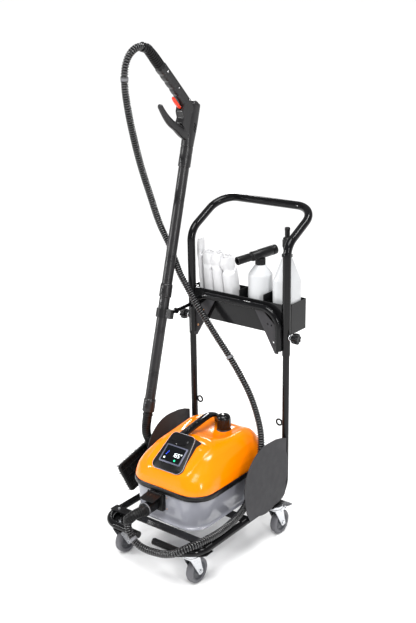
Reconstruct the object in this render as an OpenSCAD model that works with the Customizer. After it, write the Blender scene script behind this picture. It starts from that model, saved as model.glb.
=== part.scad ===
// Steam cleaner on a four-caster trolley, with a steam wand, a floor brush,
// a tray of cloths and bottles, and a corrugated steam hose.
// Millimetres, +Z up, front of the machine towards -Y, origin on the floor
// at the centre of the footprint.

/* [Trolley] */
// Outer diameter of the frame tube
tube_d = 22; // [20:1:24]
// Half of the distance between the two side rails
rail_x = 186; // [184:1:190]
// Distance from the posts forward to the front rail
rail_reach = 476; // [466:2:486]
// Height of the rail centreline
rail_z = 126.5; // [124:0.5:130]
// Radius of the bend from post to side rail
post_bend_r = 62; // [55:1:70]
// Radius of the bend at the front corners
corner_r = 66; // [60:1:72]
// Gap between the two tube ends in the front rail
front_gap = 66; // [40:2:80]
// Height of the tops of the lower posts
post_top = 765; // [750:5:790]

/* [Handle] */
// Outer diameter of the handle tube
handle_d = 26; // [25:0.5:28]
// Height of the lower ends of the handle legs
handle_foot = 612; // [600:2:630]
// Height at which the legs lean back
lean_z = 962; // [950:2:980]
// Distance that the top bar stands behind the posts
bar_y = 163; // [150:1:175]
// Height of the top bar
bar_z = 1051; // [1040:1:1065]

/* [Tray] */
// Half of the tray's length
tray_x = 195; // [192:1:198]
// Depth behind the posts
tray_y = 97; // [95:1:102]
// Height of the tray's floor
tray_floor = 677; // [675:1:680]
// Height of the tray's rim
tray_rim = 776; // [774:1:780]
// Thickness of sheet steel
sheet = 1.5; // [1.5:0.1:1.8]

/* [Casters] */
// Diameter of a wheel
wheel_d = 80; // [78:1:81]
// Width of a wheel
wheel_w = 24; // [22:1:25]
// Distance from swivel axis back to the axle
trail = 25; // [22:1:26]

/* [Machine] */
// Height of the underside of the machine
base_z = 141.5; // [141.5:0.1:142]
// Height of the bottom of the dark belt
belt_z = 238; // [236:1:240]
// Height of the dark belt
belt_h = 20; // [18:1:22]
// Half width at the rear
half_w = 150; // [148:1:151]
// Front of the machine
front_y = -386; // [-388:1:-384]
// Rear of the machine
rear_y = -8; // [-10:1:-6]

/* [Wand] */
// Distance of the wand from the trolley's middle
wand_x = -232; // [-233:0.5:-231]
// Angle that the wand leans back
lean = 15.5; // [15.3:0.1:15.7]
// Diameter of the wand tubes
wand_d = 35; // [34:0.5:35]
// Length of the lower wand tube
lower_len = 384; // [380:1:388]
// Length of the upper wand tube
upper_len = 425; // [420:1:428]

/* [Hose] */
// Outer diameter of the corrugated hose
hose_d = 23; // [22:0.5:23]

/* [Hidden] */

// The modules below draw in the trolley's own axes, with x = 0 in the middle and
// y = 0 at the posts. This shift puts the origin at the centre of the footprint.
shift = [19, 171, 0];

tube_r = tube_d / 2;
handle_r = handle_d / 2;
gap = 0.3;
fit = 0.05;
round_fn = 64;
hull_fn = 32;

deck_t = base_z - rail_z - tube_r;
lean_back = atan2(bar_y, bar_z - lean_z);
lean_len = norm([bar_y, bar_z - lean_z]);
lean_r = 60;
lean_cut = lean_r * tan(lean_back / 2);
bar_r = 70;

arch_y = -16.3;
arch_x = rail_x - sqrt(pow(tube_r + handle_r, 2) - arch_y * arch_y);
arch_z = 758;
arch_r = 62;
arch_foot = 628;
gusset_holes = [[128, 708], [142, 706], [150, 652]];

knob_z = 673;
knob_bore = 4.1;

plate_t = 3;
plate_z = rail_z - tube_r - plate_t;
axle_z = wheel_d / 2;
axle_r = 4;
fork_top = plate_z - gap;
fork_in = wheel_w / 2 + 1.5;
front_swivel = [144, -439];
rear_swivel = [rail_x, -55];

divider_x = [8, 101];
belt_top = belt_z + belt_h;
wall = 3;

cap_x = 19;
cap_y = -106;
neck_top = 366;

socket_x = -25;
socket_z = 207;
plug_z = 203;
flap_hinge = [socket_x, front_y - 13, 237.5];

// A point on the wand's axis at a distance s above the lower end of its tubes
wand_foot = [wand_x, -188.4, 380];
function wand_at(s) = wand_foot + s * [0, sin(lean), cos(lean)];
gun_s = lower_len + upper_len;
collar_r = wand_d / 2 + 3;
steam_r = 6;

brush_c = [-234.5, -181.5, 217];
brush_lean = 20.3;
brush_rise = 14;
brush_len = 280;
brush_w = 100;

// Route of the hose's centreline, from the plug's cuff to the gun's cuff
hose_route = [
  [-46, -505, 178], [-42, -507, 156], [-31, -508, 137], [-13, -508, 122], [10, -508, 114],
  [34, -507, 112], [60, -506, 114], [88, -505, 118], [112, -502, 125], [132, -498, 133],
  [145, -491, 141], [158, -478, 148], [172, -455, 153], [180, -425, 155], [184, -390, 154],
  [184, -345, 151], [182, -295, 152], [178, -250, 155], [173, -214, 163], [170, -182, 181],
  [170, -156, 208], [170, -137, 242], [170, -121, 284], [168, -110, 330], [160, -101, 378],
  [140, -92, 428], [108, -81, 480], [60, -70, 537], [8, -60, 589], [-40, -54, 635],
  [-86, -49, 682], [-130, -45, 730], [-172, -40, 778], [-210, -34, 824], [-244, -20, 868],
  [-268, -22, 918], [-283, -42, 980], [-288, -76, 1074], [-284, -125, 1190], [-273, -164, 1282],
  [-260, -198, 1370], [-250, -217, 1434], [-244, -222, 1474], [-240, -219, 1499],
  [-237, -209, 1520], [-234, -193, 1535], [-232, -175, 1543], [-232, -157, 1544],
  [-232, -141, 1540]
];

module place() translate(shift) children();

module rod(p, q, r) {
  v = q - p;
  translate(p)
    rotate([0, acos(v[2] / norm(v)), atan2(v[1], v[0])])
      cylinder(h = norm(v), r = r, $fn = round_fn);
}

// A tube bend that starts on +X and turns towards +Y
module bend(bend_r, r, angle) {
  rotate_extrude(angle = angle, $fn = round_fn)
    translate([bend_r, 0])
      circle(r, $fn = round_fn);
}

function unit(v) = v / norm(v);
function heading(route, i) =
  unit(route[min(i + 1, len(route) - 1)] - route[max(i - 1, 0)]);

// Sideways direction at each ring, carried along the route so that it never flips
function carried(h, side) = unit(side - (side * h) * h);
function sides(route, i = 0, list = []) =
  i == len(route) ? list
  : sides(route, i + 1, concat(list, [carried(heading(route, i), i == 0 ? [0.3, 1, 0.2] : list[i - 1])]));

// A closed tube swept along a route, with its own radius at each point
module sweep(route, radii, n) {
  side_list = sides(route);
  rings = len(route);
  points = [
    for (i = [0:rings - 1])
      let (u = side_list[i], v = cross(heading(route, i), u))
        for (k = [0:n - 1])
          route[i] + radii[i] * (cos(k * 360 / n) * u + sin(k * 360 / n) * v)
  ];
  walls = [
    for (i = [0:rings - 2])
      for (k = [0:n - 1])
        let (a = i * n + k, b = i * n + (k + 1) % n)
          [a, a + n, b + n, b]
  ];
  caps = [
    [for (k = [0:n - 1]) k],
    [for (k = [n - 1:-1:0]) (rings - 1) * n + k]
  ];
  polyhedron(points, concat(walls, caps), convexity = 10);
}

module mirrored(side) {
  if (side > 0) children();
  else mirror([1, 0, 0]) children();
}

// ---------------------------------------------------------------- trolley

module side_tube(side) {
  mirrored(side)
    difference() {
      union() {
        rod([rail_x, 0, rail_z + post_bend_r], [rail_x, 0, post_top], tube_r);
        translate([rail_x, -post_bend_r, rail_z + post_bend_r])
          rotate([-90, 0, 90])
            bend(post_bend_r, tube_r, 90);
        rod([rail_x, corner_r - rail_reach, rail_z], [rail_x, -post_bend_r, rail_z], tube_r);
        translate([rail_x - corner_r, corner_r - rail_reach, rail_z])
          rotate([0, 0, -90])
            bend(corner_r, tube_r, 90);
        rod([front_gap / 2, -rail_reach, rail_z], [rail_x - corner_r, -rail_reach, rail_z], tube_r);
        eyelet();
      }
      rod([rail_x - tube_d, 0, knob_z], [rail_x + tube_d, 0, knob_z], knob_bore);
      rod([rail_x, 0, post_top - 120], [rail_x, 0, post_top + 1], tube_r - 2);
    }
}

// A strap eyelet of round bar, welded to the inside of a post
module eyelet() {
  translate([rail_x - 24, 0, 377])
    rotate([90, 0, 0])
      rotate_extrude($fn = round_fn)
        translate([10, 0])
          circle(3, $fn = hull_fn);
  rod([rail_x - 15, 0, 377], [rail_x - 6, 0, 377], 3);
}

module side_tube_left() {
  color("#151517") side_tube(-1);
}

module side_tube_right() {
  color("#151517") side_tube(1);
}

module tube_end_plugs() {
  color("#202022")
    for (side = [-1, 1])
      rod([side * front_gap / 2, -rail_reach, rail_z],
          [side * (front_gap / 2 - 4), -rail_reach, rail_z], tube_r);
}

module flat_bar(x_half, y, w) {
  translate([-x_half, y - w / 2, rail_z + tube_r])
    cube([2 * x_half, w, deck_t]);
}

module cross_bars() {
  color("#1a1a1c") {
    flat_bar(rail_x + 6, -413, 30);
    flat_bar(rail_x + 6, -228, 36);
    flat_bar(rail_x + 6, -84, 30);
  }
}

module caster_plates() {
  color("#1a1a1c")
    for (side = [-1, 1])
      mirrored(side) {
        difference() {
          translate([0, 0, plate_z])
            linear_extrude(plate_t)
              polygon([[96, -486], [126, -486], [184, -445], [196, -430], [196, -398], [112, -398]]);
          translate([front_swivel[0], front_swivel[1], plate_z - 1])
            cylinder(h = plate_t + 2, r = 5 + fit, $fn = round_fn);
        }
        difference() {
          translate([rear_swivel[0] - 30, rear_swivel[1] - 32, plate_z])
            cube([44, 64, plate_t]);
          translate([rear_swivel[0], rear_swivel[1], plate_z - 1])
            cylinder(h = plate_t + 2, r = 5 + fit, $fn = round_fn);
        }
      }
}

// A side guard: a flat plate with large round corners, outside the rail
module side_plate(side) {
  mirrored(side)
    translate([rail_x + tube_r, 0, 0])
      rotate([90, 0, 90])
        linear_extrude(2)
          union() {
            difference() {
              polygon([
                [-14, 152], [-14, 336], [-42, 347], [-75, 354], [-120, 356], [-241, 330],
                [-241, 236], [-237, 195], [-228, 160], [-212, 126], [-62, 124], [-34, 129],
                [-20, 139]
              ]);
              translate([-241, 236])
                square([121, 130]);
            }
            translate([-121, 236])
              circle(120, $fn = round_fn);
          }
}

module side_plate_left() {
  color("#444347") side_plate(-1);
}

module side_plate_right() {
  color("#444347") side_plate(1);
}

module handle_tube() {
  color("#111113")
    difference() {
      union() {
        for (side = [-1, 1])
          mirrored(side) {
            rod([rail_x, 0, handle_foot], [rail_x, 0, lean_z - lean_cut], handle_r);
            translate([rail_x, lean_r, lean_z - lean_cut])
              rotate([90, 0, -90])
                bend(lean_r, handle_r, lean_back);
            translate([0, 0, lean_z])
              rotate([-lean_back, 0, 0]) {
                rod([rail_x, 0, lean_cut], [rail_x, 0, lean_len - bar_r], handle_r);
                translate([rail_x - bar_r, 0, lean_len - bar_r])
                  rotate([90, 0, 0])
                    bend(bar_r, handle_r, 90);
              }
          }
        translate([0, 0, lean_z])
          rotate([-lean_back, 0, 0])
            rod([bar_r - rail_x, 0, lean_len], [rail_x - bar_r, 0, lean_len], handle_r);
      }
      for (side = [-1, 1])
        mirrored(side) {
          rod([rail_x, 0, handle_foot - 1], [rail_x, 0, post_top + 10], tube_r + fit);
          rod([rail_x, 0, knob_z], [rail_x + handle_d, 0, knob_z], knob_bore);
        }
    }
}

module arch_shape(r) {
  for (side = [-1, 1])
    mirrored(side) {
      rod([arch_x, arch_y, arch_foot], [arch_x, arch_y, arch_z - arch_r], r);
      translate([arch_x - arch_r, arch_y, arch_z - arch_r])
        rotate([90, 0, 0])
          bend(arch_r, r, 90);
      rod([0, arch_y, arch_z], [arch_x - arch_r, arch_y, arch_z], r);
    }
}

module tool_arch() {
  color("#151517") arch_shape(tube_r);
}

module gussets() {
  color("#3c3b40")
    for (side = [-1, 1])
      mirrored(side)
        difference() {
          translate([0, arch_y + 1.5, 0])
            rotate([90, 0, 0])
              linear_extrude(3)
                difference() {
                  polygon([[78, 750], [155, 616], [arch_x - 1, 616], [arch_x - 1, 700], [arch_x - 60, 750]]);
                  for (hole = gusset_holes)
                    translate(hole)
                      circle(3, $fn = hull_fn);
                }
          arch_shape(tube_r);
        }
}

// Plan of the tray, with its front corners stepped back behind the handle legs
module tray_plan(inset) {
  polygon([
    [-171 + inset, -4.5 + inset], [171 - inset, -4.5 + inset],
    [171 - inset, 14 + inset], [tray_x - inset, 14 + inset],
    [tray_x - inset, tray_y - inset], [inset - tray_x, tray_y - inset],
    [inset - tray_x, 14 + inset], [inset - 171, 14 + inset]
  ]);
}

module tray() {
  color("#222224") {
    difference() {
      translate([0, 0, tray_floor])
        linear_extrude(tray_rim - tray_floor)
          tray_plan(0);
      translate([0, 0, tray_floor + sheet])
        linear_extrude(tray_rim)
          tray_plan(sheet);
    }
    for (x = divider_x)
      translate([x - sheet / 2, -4.5 + sheet, tray_floor + sheet])
        cube([sheet, tray_y + 4.5 - 2 * sheet, tray_rim - tray_floor + 18]);
  }
}

// The left gusset is screwed to the tray; the right one keeps its holes open
module frame_screws() {
  color("#b87a50")
    for (hole = gusset_holes)
      translate([-hole[0], arch_y - 1.5, hole[1]])
        rotate([90, 0, 0]) {
          cylinder(h = 2.5, r = 4.5, $fn = round_fn);
          translate([0, 0, arch_y + 6])
            cylinder(h = -arch_y - 6, r = 3 - fit, $fn = round_fn);
        }
}

// ---------------------------------------------------------------- casters

pedal_pin = [31, 92];

module caster_fork(x, y, pedal_ears = false) {
  color("#b9bcc0")
    translate([x, y, 0]) {
      translate([0, 0, fork_top - 8])
        cylinder(h = 8, r = 24, $fn = round_fn);
      translate([0, 0, fork_top - 12])
        cylinder(h = 4, r = 20, $fn = round_fn);
      translate([0, 0, fork_top])
        cylinder(h = plate_t, r = 5, $fn = round_fn);
      translate([-fork_in - 2.5, -20, fork_top - 16])
        cube([2 * fork_in + 5, 42, 4]);
      for (side = [-1, 1])
        translate([side * (fork_in + 1.25), 0, 0])
          rotate([90, 0, 90])
            linear_extrude(2.5, center = true)
              union() {
                polygon([
                  [-20, fork_top - 16], [22, fork_top - 16],
                  [trail + 10, axle_z], [trail - 10, axle_z - 4]
                ]);
                translate([trail, axle_z])
                  circle(11, $fn = hull_fn);
              }
      rod([-fork_in - 5, trail, axle_z], [fork_in + 5, trail, axle_z], axle_r);
      if (pedal_ears)
        for (side = [-1, 1])
          translate([side * (fork_in + 3.5), 0, 0])
            rotate([90, 0, 90])
              linear_extrude(2.5, center = true)
                difference() {
                  union() {
                    polygon([[10, 86], [31, 87], [31, 97], [10, 98]]);
                    translate(pedal_pin)
                      circle(6, $fn = hull_fn);
                  }
                  translate(pedal_pin)
                    circle(3 + fit, $fn = round_fn);
                }
    }
}

module caster_wheel(x, y) {
  translate([x, y + trail, axle_z])
    rotate([0, 90, 0])
      translate([0, 0, -wheel_w / 2]) {
        color("#6d6e72")
          rotate_extrude($fn = round_fn)
            polygon([
              [29, 1], [34, 0], [wheel_d / 2 - 2, 2], [wheel_d / 2, 6],
              [wheel_d / 2, wheel_w - 6], [wheel_d / 2 - 2, wheel_w - 2], [34, wheel_w], [29, wheel_w - 1]
            ]);
        color("#55565a")
          rotate_extrude($fn = round_fn)
            polygon([
              [axle_r + fit, 0], [12, 0], [14, 6], [25, 5], [29 - fit, 2],
              [29 - fit, wheel_w - 2], [25, wheel_w - 5], [14, wheel_w - 6], [12, wheel_w],
              [axle_r + fit, wheel_w]
            ]);
      }
}

module caster_fork_fl() { caster_fork(-front_swivel[0], front_swivel[1]); }
module caster_fork_fr() { caster_fork(front_swivel[0], front_swivel[1]); }
module caster_fork_rl() { caster_fork(-rear_swivel[0], rear_swivel[1], true); }
module caster_fork_rr() { caster_fork(rear_swivel[0], rear_swivel[1], true); }
module caster_wheel_fl() { caster_wheel(-front_swivel[0], front_swivel[1]); }
module caster_wheel_fr() { caster_wheel(front_swivel[0], front_swivel[1]); }
module caster_wheel_rl() { caster_wheel(-rear_swivel[0], rear_swivel[1]); }
module caster_wheel_rr() { caster_wheel(rear_swivel[0], rear_swivel[1]); }

// A foot pedal that presses a brake on the wheel, hinged on the fork's bridge
module brake_pedal(side) {
  color("#4b4d52")
    translate([side * rear_swivel[0], rear_swivel[1], 0])
      rotate([90, 0, 90]) {
        linear_extrude(29, center = true)
          union() {
            polygon([[31, 88], [31, 97], [44, 99], [66, 91], [78, 85], [76, 81], [62, 84], [42, 89]]);
            translate(pedal_pin)
              circle(5, $fn = hull_fn);
          }
        translate([pedal_pin[0], pedal_pin[1], 0])
          cylinder(h = 37, r = 3, center = true, $fn = round_fn);
      }
}

module brake_pedal_left() { brake_pedal(-1); }
module brake_pedal_right() { brake_pedal(1); }

// ---------------------------------------------------------------- clamps and clip

// A seven-lobed clamping knob, with its stud through the handle leg
module clamp_knob(side) {
  mirrored(side)
    translate([rail_x, 0, knob_z])
      rotate([0, 90, 0]) {
        color("#c8cacc") {
          translate([0, 0, -8])
            cylinder(h = 8 + handle_r + 16, r = 4, $fn = round_fn);
          translate([0, 0, handle_r + gap])
            cylinder(h = 5, r = 9, $fn = round_fn);
        }
        color("#17171a")
          translate([0, 0, handle_r + 14])
            linear_extrude(20)
              union() {
                circle(14, $fn = round_fn);
                for (i = [0:6])
                  rotate(i * 360 / 7)
                    translate([13, 0])
                      circle(5, $fn = hull_fn);
              }
      }
}

module clamp_knob_left() { clamp_knob(-1); }
module clamp_knob_right() { clamp_knob(1); }

clip_s = (700 - wand_foot[2]) / cos(lean);
clip_h = 30;

clip_rod_a = [-rail_x - 6, -9, 712];
clip_rod_b = [-rail_x - 6, -92, 708];
clip_nut = [-rail_x - 6, -74, 708.9];

module clip_rod_form() {
  rod(clip_rod_a, clip_rod_b, 6);
  translate(clip_nut)
    rotate([90, 0, 0])
      cylinder(h = 8, r = 10, $fn = 6);
}

module clip_rod() {
  color("#1b1b1d")
    difference() {
      clip_rod_form();
      rod([-rail_x, 0, 690], [-rail_x, 0, 730], handle_r);
    }
}

module wand_clip() {
  color("#1b1b1d")
    difference() {
      translate(wand_at(clip_s))
        rotate([-lean, 0, 0])
          difference() {
            union() {
              cylinder(h = clip_h, r = wand_d / 2 + 4.5, center = true, $fn = round_fn);
              translate([0, -9, -clip_h / 2])
                cube([40, 18, clip_h]);
            }
            cylinder(h = clip_h + 2, r = wand_d / 2 + gap, center = true, $fn = round_fn);
            translate([-30, -15, -clip_h])
              cube([24, 30, 2 * clip_h]);
          }
      clip_rod_form();
    }
}

// ---------------------------------------------------------------- machine

case_x = -4;

// The console's face, on the sloping front of the top shell
screen_tilt = 39;
screen_c = [0, -337, 348.5];

// One level of a casing: an outline that narrows to the front, with round corners
module level(z, rear_half, front_half, rear, front, r, h = 0.1) {
  translate([case_x, 0, z])
    linear_extrude(h)
      hull()
        for (side = [-1, 1]) {
          translate([side * (rear_half - r), rear - r])
            circle(r, $fn = hull_fn);
          translate([side * (front_half - r), front + r])
            circle(r, $fn = hull_fn);
        }
}

module top_form(t) {
  hull() {
    level(belt_top, half_w + 1 - t, 148 - t, rear_y - t, front_y - 6 + t, 74);
    level(300, 145 - t, 139 - t, -14 - t, -380 + t, 72);
    level(332 - t, 131 - t, 118 - t, -24 - t, -344 + t, 60);
    level(352 - t, 112 - t, 96 - t, -42 - t, -300 + t, 52);
  }
}

module lower_form(t) {
  hull() {
    level(base_z + t, 132 - t, 130 - t, rear_y - 10 - t, front_y - 2 + t, 66);
    level(belt_z - 0.1, half_w - 2 - t, 145 - t, rear_y - 2 - t, front_y - 2 + t, 74);
  }
}

module lower_shell() {
  color("#a9aab0")
    difference() {
      union() {
        lower_form(0);
        level(base_z, 137, 135, rear_y - 5, front_y - 8, 66, 5);
      }
      lower_form(wall);
      translate([40, rear_y - 30, 190])
        cube([44, 40, 30]);
    }
}

module belt_band() {
  color("#1c1c1e")
    difference() {
      level(belt_z, half_w + 3, 151, rear_y + 1, front_y - 8, 76, belt_h);
      level(belt_z - 1, half_w - 6, 140, rear_y - 9, front_y + 3, 70, belt_h + 2);
    }
}

module top_shell() {
  color("#ff9a0a")
    difference() {
      top_form(0);
      top_form(wall);
      translate([cap_x, cap_y, 300])
        cylinder(h = 100, r = 19 + fit, $fn = round_fn);
    }
}

module console() {
  color("#19191b")
    difference() {
      union() {
        hull()
          for (side = [-1, 1]) {
            translate(screen_c)
              rotate([screen_tilt, 0, 0]) {
                translate([side * 40, -30, -12])
                  cylinder(h = 12, r = 20, $fn = hull_fn);
                translate([side * 24, 62, -12])
                  cylinder(h = 12, r = 20, $fn = hull_fn);
              }
            translate([side * 30, -230, 330])
              cylinder(h = 10, r = 20, $fn = hull_fn);
          }
      }
      top_form(0);
      translate(screen_c)
        rotate([screen_tilt, 0, 0])
          translate([-42, -31, -4])
            cube([84, 62, 10]);
    }
}

module display() {
  color("#50525f")
    translate(screen_c)
      rotate([screen_tilt, 0, 0])
        translate([-42 + fit, -31 + fit, -4])
          cube([84 - 2 * fit, 62 - 2 * fit, 4.5]);
}

handle_mid = -23;
grip_a = [-282, 384];
grip_b = [-226, 376];
grip_c = [-92, 448];
grip_d = [-60, 330];
function bezier(a, b, c, d, t) =
  pow(1 - t, 3) * a + 3 * t * pow(1 - t, 2) * b + 3 * t * t * (1 - t) * c + pow(t, 3) * d;
function side_of(a, b) = [a[1] - b[1], b[0] - a[0]] / norm(b - a);
function band(points, widths) = [
  for (i = [0:len(points) - 1])
    let (a = points[max(i - 1, 0)], b = points[min(i + 1, len(points) - 1)])
      points[i] + side_of(a, b) * widths[i]
];

module ribbon(points, widths) {
  polygon(concat(
    band(points, widths),
    [for (i = [len(points) - 1:-1:0]) band(points, -widths)[i]]
  ));
}

module carry_handle() {
  steps = 16;
  points = [for (i = [0:steps]) bezier(grip_a, grip_b, grip_c, grip_d, i / steps)];
  color("#161618")
    difference() {
      translate([handle_mid, 0, 0])
        rotate([90, 0, 90])
          linear_extrude(30, center = true)
            ribbon(points, [for (i = [0:steps]) 7]);
      top_form(0);
      console();
    }
}

module filler_neck() {
  color("#9a9ca0")
    translate([cap_x, cap_y, 0])
      difference() {
        union() {
          translate([0, 0, 300])
            cylinder(h = neck_top - 300, r = 19, $fn = round_fn);
          translate([0, 0, 352.5])
            cylinder(h = 5, r = 24, $fn = round_fn);
        }
        translate([0, 0, 299])
          cylinder(h = 70, r = 14, $fn = round_fn);
      }
}

// The rubber seal under the cap rides up and down with it
module cap_seal() {
  color("#141414")
    translate([cap_x, cap_y, neck_top + gap])
      difference() {
        cylinder(h = 3, r = 18, $fn = round_fn);
        translate([0, 0, -1])
          cylinder(h = 5, r = 11, $fn = round_fn);
      }
}

module filler_cap() {
  color("#161618")
    translate([cap_x, cap_y, 0])
      difference() {
        union() {
          rotate_extrude($fn = round_fn)
            polygon([[0, 358], [23, 358], [23, 394], [21.5, 400], [17, 404.5], [9, 407], [0, 407]]);
          for (i = [0:15])
            rotate(i * 360 / 16)
              translate([22.4, 0, 366])
                cylinder(h = 24, r = 1.6, $fn = hull_fn);
        }
        translate([0, 0, 357])
          cylinder(h = neck_top + gap + 3 + gap - 357, r = 19.4, $fn = round_fn);
      }
}

module steam_socket() {
  color("#161618")
    difference() {
      translate([socket_x - 30, front_y - 16, socket_z - 24])
        cube([60, 24, 50]);
      lower_form(0);
      level(base_z, 137, 135, rear_y - 5, front_y - 8, 66, 5);
      translate([socket_x, front_y - 20, plug_z])
        rotate([-90, 0, 0])
          cylinder(h = 40, r = 19, $fn = round_fn);
    }
  color("#161618") {
    for (x = [socket_x - 30, socket_x + 27])
      translate([x, flap_hinge[1] - 3, socket_z + 26])
        cube([3, 6, 7.5]);
    rod(flap_hinge - [28, 0, 0], flap_hinge + [28, 0, 0], 1.5);
  }
}

// The flap lies over the plug and swings up about its rear edge
module socket_flap() {
  color("#1a1a1c")
    translate(flap_hinge)
      rotate([8, 0, 0])
        difference() {
          union() {
            translate([-26.7, -45, -1.5])
              cube([53.4, 45, 3]);
            rod([-26.7, 0, 0], [26.7, 0, 0], 3);
          }
          rod([-28, 0, 0], [28, 0, 0], 1.5 + fit);
        }
}

plug_front = front_y - 74;
plug_cuff = [
  [socket_x, plug_front + 8, plug_z], [socket_x, plug_front - 1, plug_z],
  [socket_x - 4, plug_front - 17, plug_z - 1], [socket_x - 11, plug_front - 32, plug_z - 5],
  [socket_x - 18, plug_front - 42, plug_z - 11], [-47.4, -504.3, 185.9], hose_route[0]
];

module hose_plug() {
  color("#1a1a1c") {
    rod([socket_x, front_y - 4, plug_z], [socket_x, plug_front, plug_z], 18.5);
    rod([socket_x, plug_front + 18, plug_z], [socket_x, plug_front + 4, plug_z], 21);
  }
  color("#202022")
    sweep(plug_cuff, [16, 16, 15.5, 15, 14.5, 13.5, 13], 24);
}

module boiler() {
  color("#c9ccd0") {
    difference() {
      rod([-34, -300, 214], [-34, -70, 214], 58);
      rod([-34, -297, 214], [-34, -73, 214], 56);
    }
    rod([-34, -311, 214], [-34, -300, 214], 34);
  }
  color("#8c4a32")
    rod([-34, -297, 190], [-34, -120, 190], 5);
}

module water_pump() {
  color("#3a3c42") {
    rod([74, -180, 176], [74, -110, 176], 24);
    rod([74, -195, 176], [74, -180, 176], 15);
  }
  color("#c0c0c4")
    rod([74, -110, 176], [74, -92, 176], 8);
}

module steam_valve() {
  color("#c8a04a") {
    translate([44, -348, 176])
      cube([30, 34, 26]);
    rod([59, -331, 202], [59, -331, 222], 5);
  }
  color("#26262a")
    rod([59, -331, 222], [59, -331, 234], 14);
}

module control_board() {
  color("#1f5c34")
    translate([40, -300, 232])
      cube([70, 90, 1.6]);
  color("#303236")
    for (y = [-290, -262, -234])
      translate([52, y, 233.6])
        cube([34, 18, 14]);
}

module mains_inlet() {
  color("#1a1a1c")
    difference() {
      translate([36, rear_y - 8, 186])
        cube([52, 8, 38]);
      lower_form(0);
      translate([48, rear_y - 6, 194])
        cube([28, 7, 22]);
    }
  color("#1a1a1c")
    translate([40 + fit, rear_y - 28, 190 + fit])
      cube([44 - 2 * fit, 17, 30 - 2 * fit]);
}

module machine_screws() {
  color("#b87a50")
    difference() {
      for (x = [socket_x - 36, socket_x + 36])
        for (z = [socket_z - 18, socket_z + 20])
          translate([x, front_y + 12, z])
            rotate([90, 0, 0])
              cylinder(h = 16, r = 2.6, $fn = round_fn);
      lower_form(0);
    }
}

// ---------------------------------------------------------------- wand

module wand_tube(s0, s1, collar) {
  difference() {
    union() {
      rod(wand_at(s0), wand_at(s1), wand_d / 2);
      rod(wand_at(s0), wand_at(s0 + collar), collar_r);
    }
    rod(wand_at(s0 - 1), wand_at(s1 + 1), steam_r);
  }
}

button_x = 8;

// A slot in a collar, for a release button that faces the front
module button_slot(s, grow) {
  translate(wand_at(s))
    rotate([-lean, 0, 0])
      translate([-5 - grow, -collar_r - 1.5, -9 - grow])
        cube([10 + 2 * grow, 7 + grow, 18 + 2 * grow]);
}

button_s = [20, lower_len + 20, gun_s + 20];

module wand_tube_lower() {
  color("#37363a")
    difference() {
      wand_tube(0, lower_len, 44);
      button_slot(button_s[0], fit + 2);
    }
}

module wand_tube_upper() {
  color("#37363a")
    difference() {
      wand_tube(lower_len, gun_s, 44);
      button_slot(button_s[1], fit + 2);
    }
}

module release_button(i) {
  color("#1b1b1d") button_slot(button_s[i], 0);
}

module release_button_lower() { release_button(0); }
module release_button_middle() { release_button(1); }
module release_button_upper() { release_button(2); }

// Axes of the brush: +X out of its back, +Y along it, +Z across it
brush_back = 10;
pin_out = 20;
pin_up = 22;

module brush_frame() {
  translate(brush_c)
    rotate([brush_rise, 0, 0])
      rotate([0, -brush_lean, 0])
        children();
}

// The brush's hinge pin, in the trolley's axes
function brush_pin() =
  let (x = pin_out * cos(brush_lean) - pin_up * sin(brush_lean),
       z = pin_out * sin(brush_lean) + pin_up * cos(brush_lean))
    brush_c + [x, -z * sin(brush_rise), z * cos(brush_rise)];

module elbow() {
  route = [
    wand_at(0), wand_at(-28), [wand_x + 1, -202, 330], [wand_x + 3, -204, 308],
    [wand_x + 6, -198, 284], brush_pin()
  ];
  color("#303034")
    difference() {
      union() {
        sweep(route, [15.5, 15.5, 15, 14, 12, 8], 24);
        brush_frame()
          rod([pin_out, -12, pin_up], [pin_out, 12, pin_up], 9);
      }
      brush_frame() {
        rod([pin_out, -30, pin_up], [pin_out, 30, pin_up], 4 + fit);
        for (side = [-1, 1])
          translate([brush_back, side * 15.5 - 3.3, pin_up - 11])
            cube([24, 6.6, 24]);
      }
    }
}

module brush_head() {
  color("#1c1c1f")
    brush_frame() {
      difference() {
        translate([0, -brush_len / 2, -brush_w / 2])
          cube([brush_back, brush_len, brush_w]);
        for (side = [-1, 1])
          translate([4, side * 76 - 52, -brush_w / 2 + 8])
            cube([brush_back, 104, brush_w - 16]);
      }
      for (side = [-1, 1]) {
        translate([brush_back - 1, side * 15.5 - 3, pin_up - 9])
          cube([pin_out - brush_back + 1, 6, 18]);
        rod([pin_out, side * 15.5 - 3, pin_up], [pin_out, side * 15.5 + 3, pin_up], 9);
      }
      rod([pin_out, -18, pin_up], [pin_out, 18, pin_up], 4);
    }
  color("#101012")
    brush_frame()
      translate([-21, -brush_len / 2 + 4, -brush_w / 2 + 4])
        cube([21, brush_len - 8, brush_w - 8]);
}

// ---------------------------------------------------------------- steam gun

// Side view of the gun, as [y, z]
gun_axis = [for (s = [gun_s + 44, gun_s + 212]) [wand_at(s)[1], wand_at(s)[2]]];
grip_line = [[62, 1338], [36, 1366], [-7, 1413], [-74, 1481]];
hook_line = [[34, 1284], [12, 1287], [-20, 1300], [-46, 1320], [-66, 1344], [-83, 1369]];
gun_half = 17;

module gun_side() {
  ribbon(gun_axis, [20.5, 20.5]);
  ribbon(grip_line, [20, 18, 16.5, 16]);
  ribbon(hook_line, [16, 13, 9, 8, 7, 6.5]);
  translate(gun_axis[1] - [4, 12])
    circle(24, $fn = round_fn);
}

module in_gun_plane(w) {
  translate([wand_x, 0, 0])
    rotate([90, 0, 90])
      linear_extrude(w, center = true)
        children();
}

trigger_pin = [20, 1352];

module trigger_side() {
  ribbon([trigger_pin, [-2, 1374], [-16, 1390]], [5, 5, 4]);
  translate(trigger_pin)
    circle(5, $fn = round_fn);
}

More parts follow.
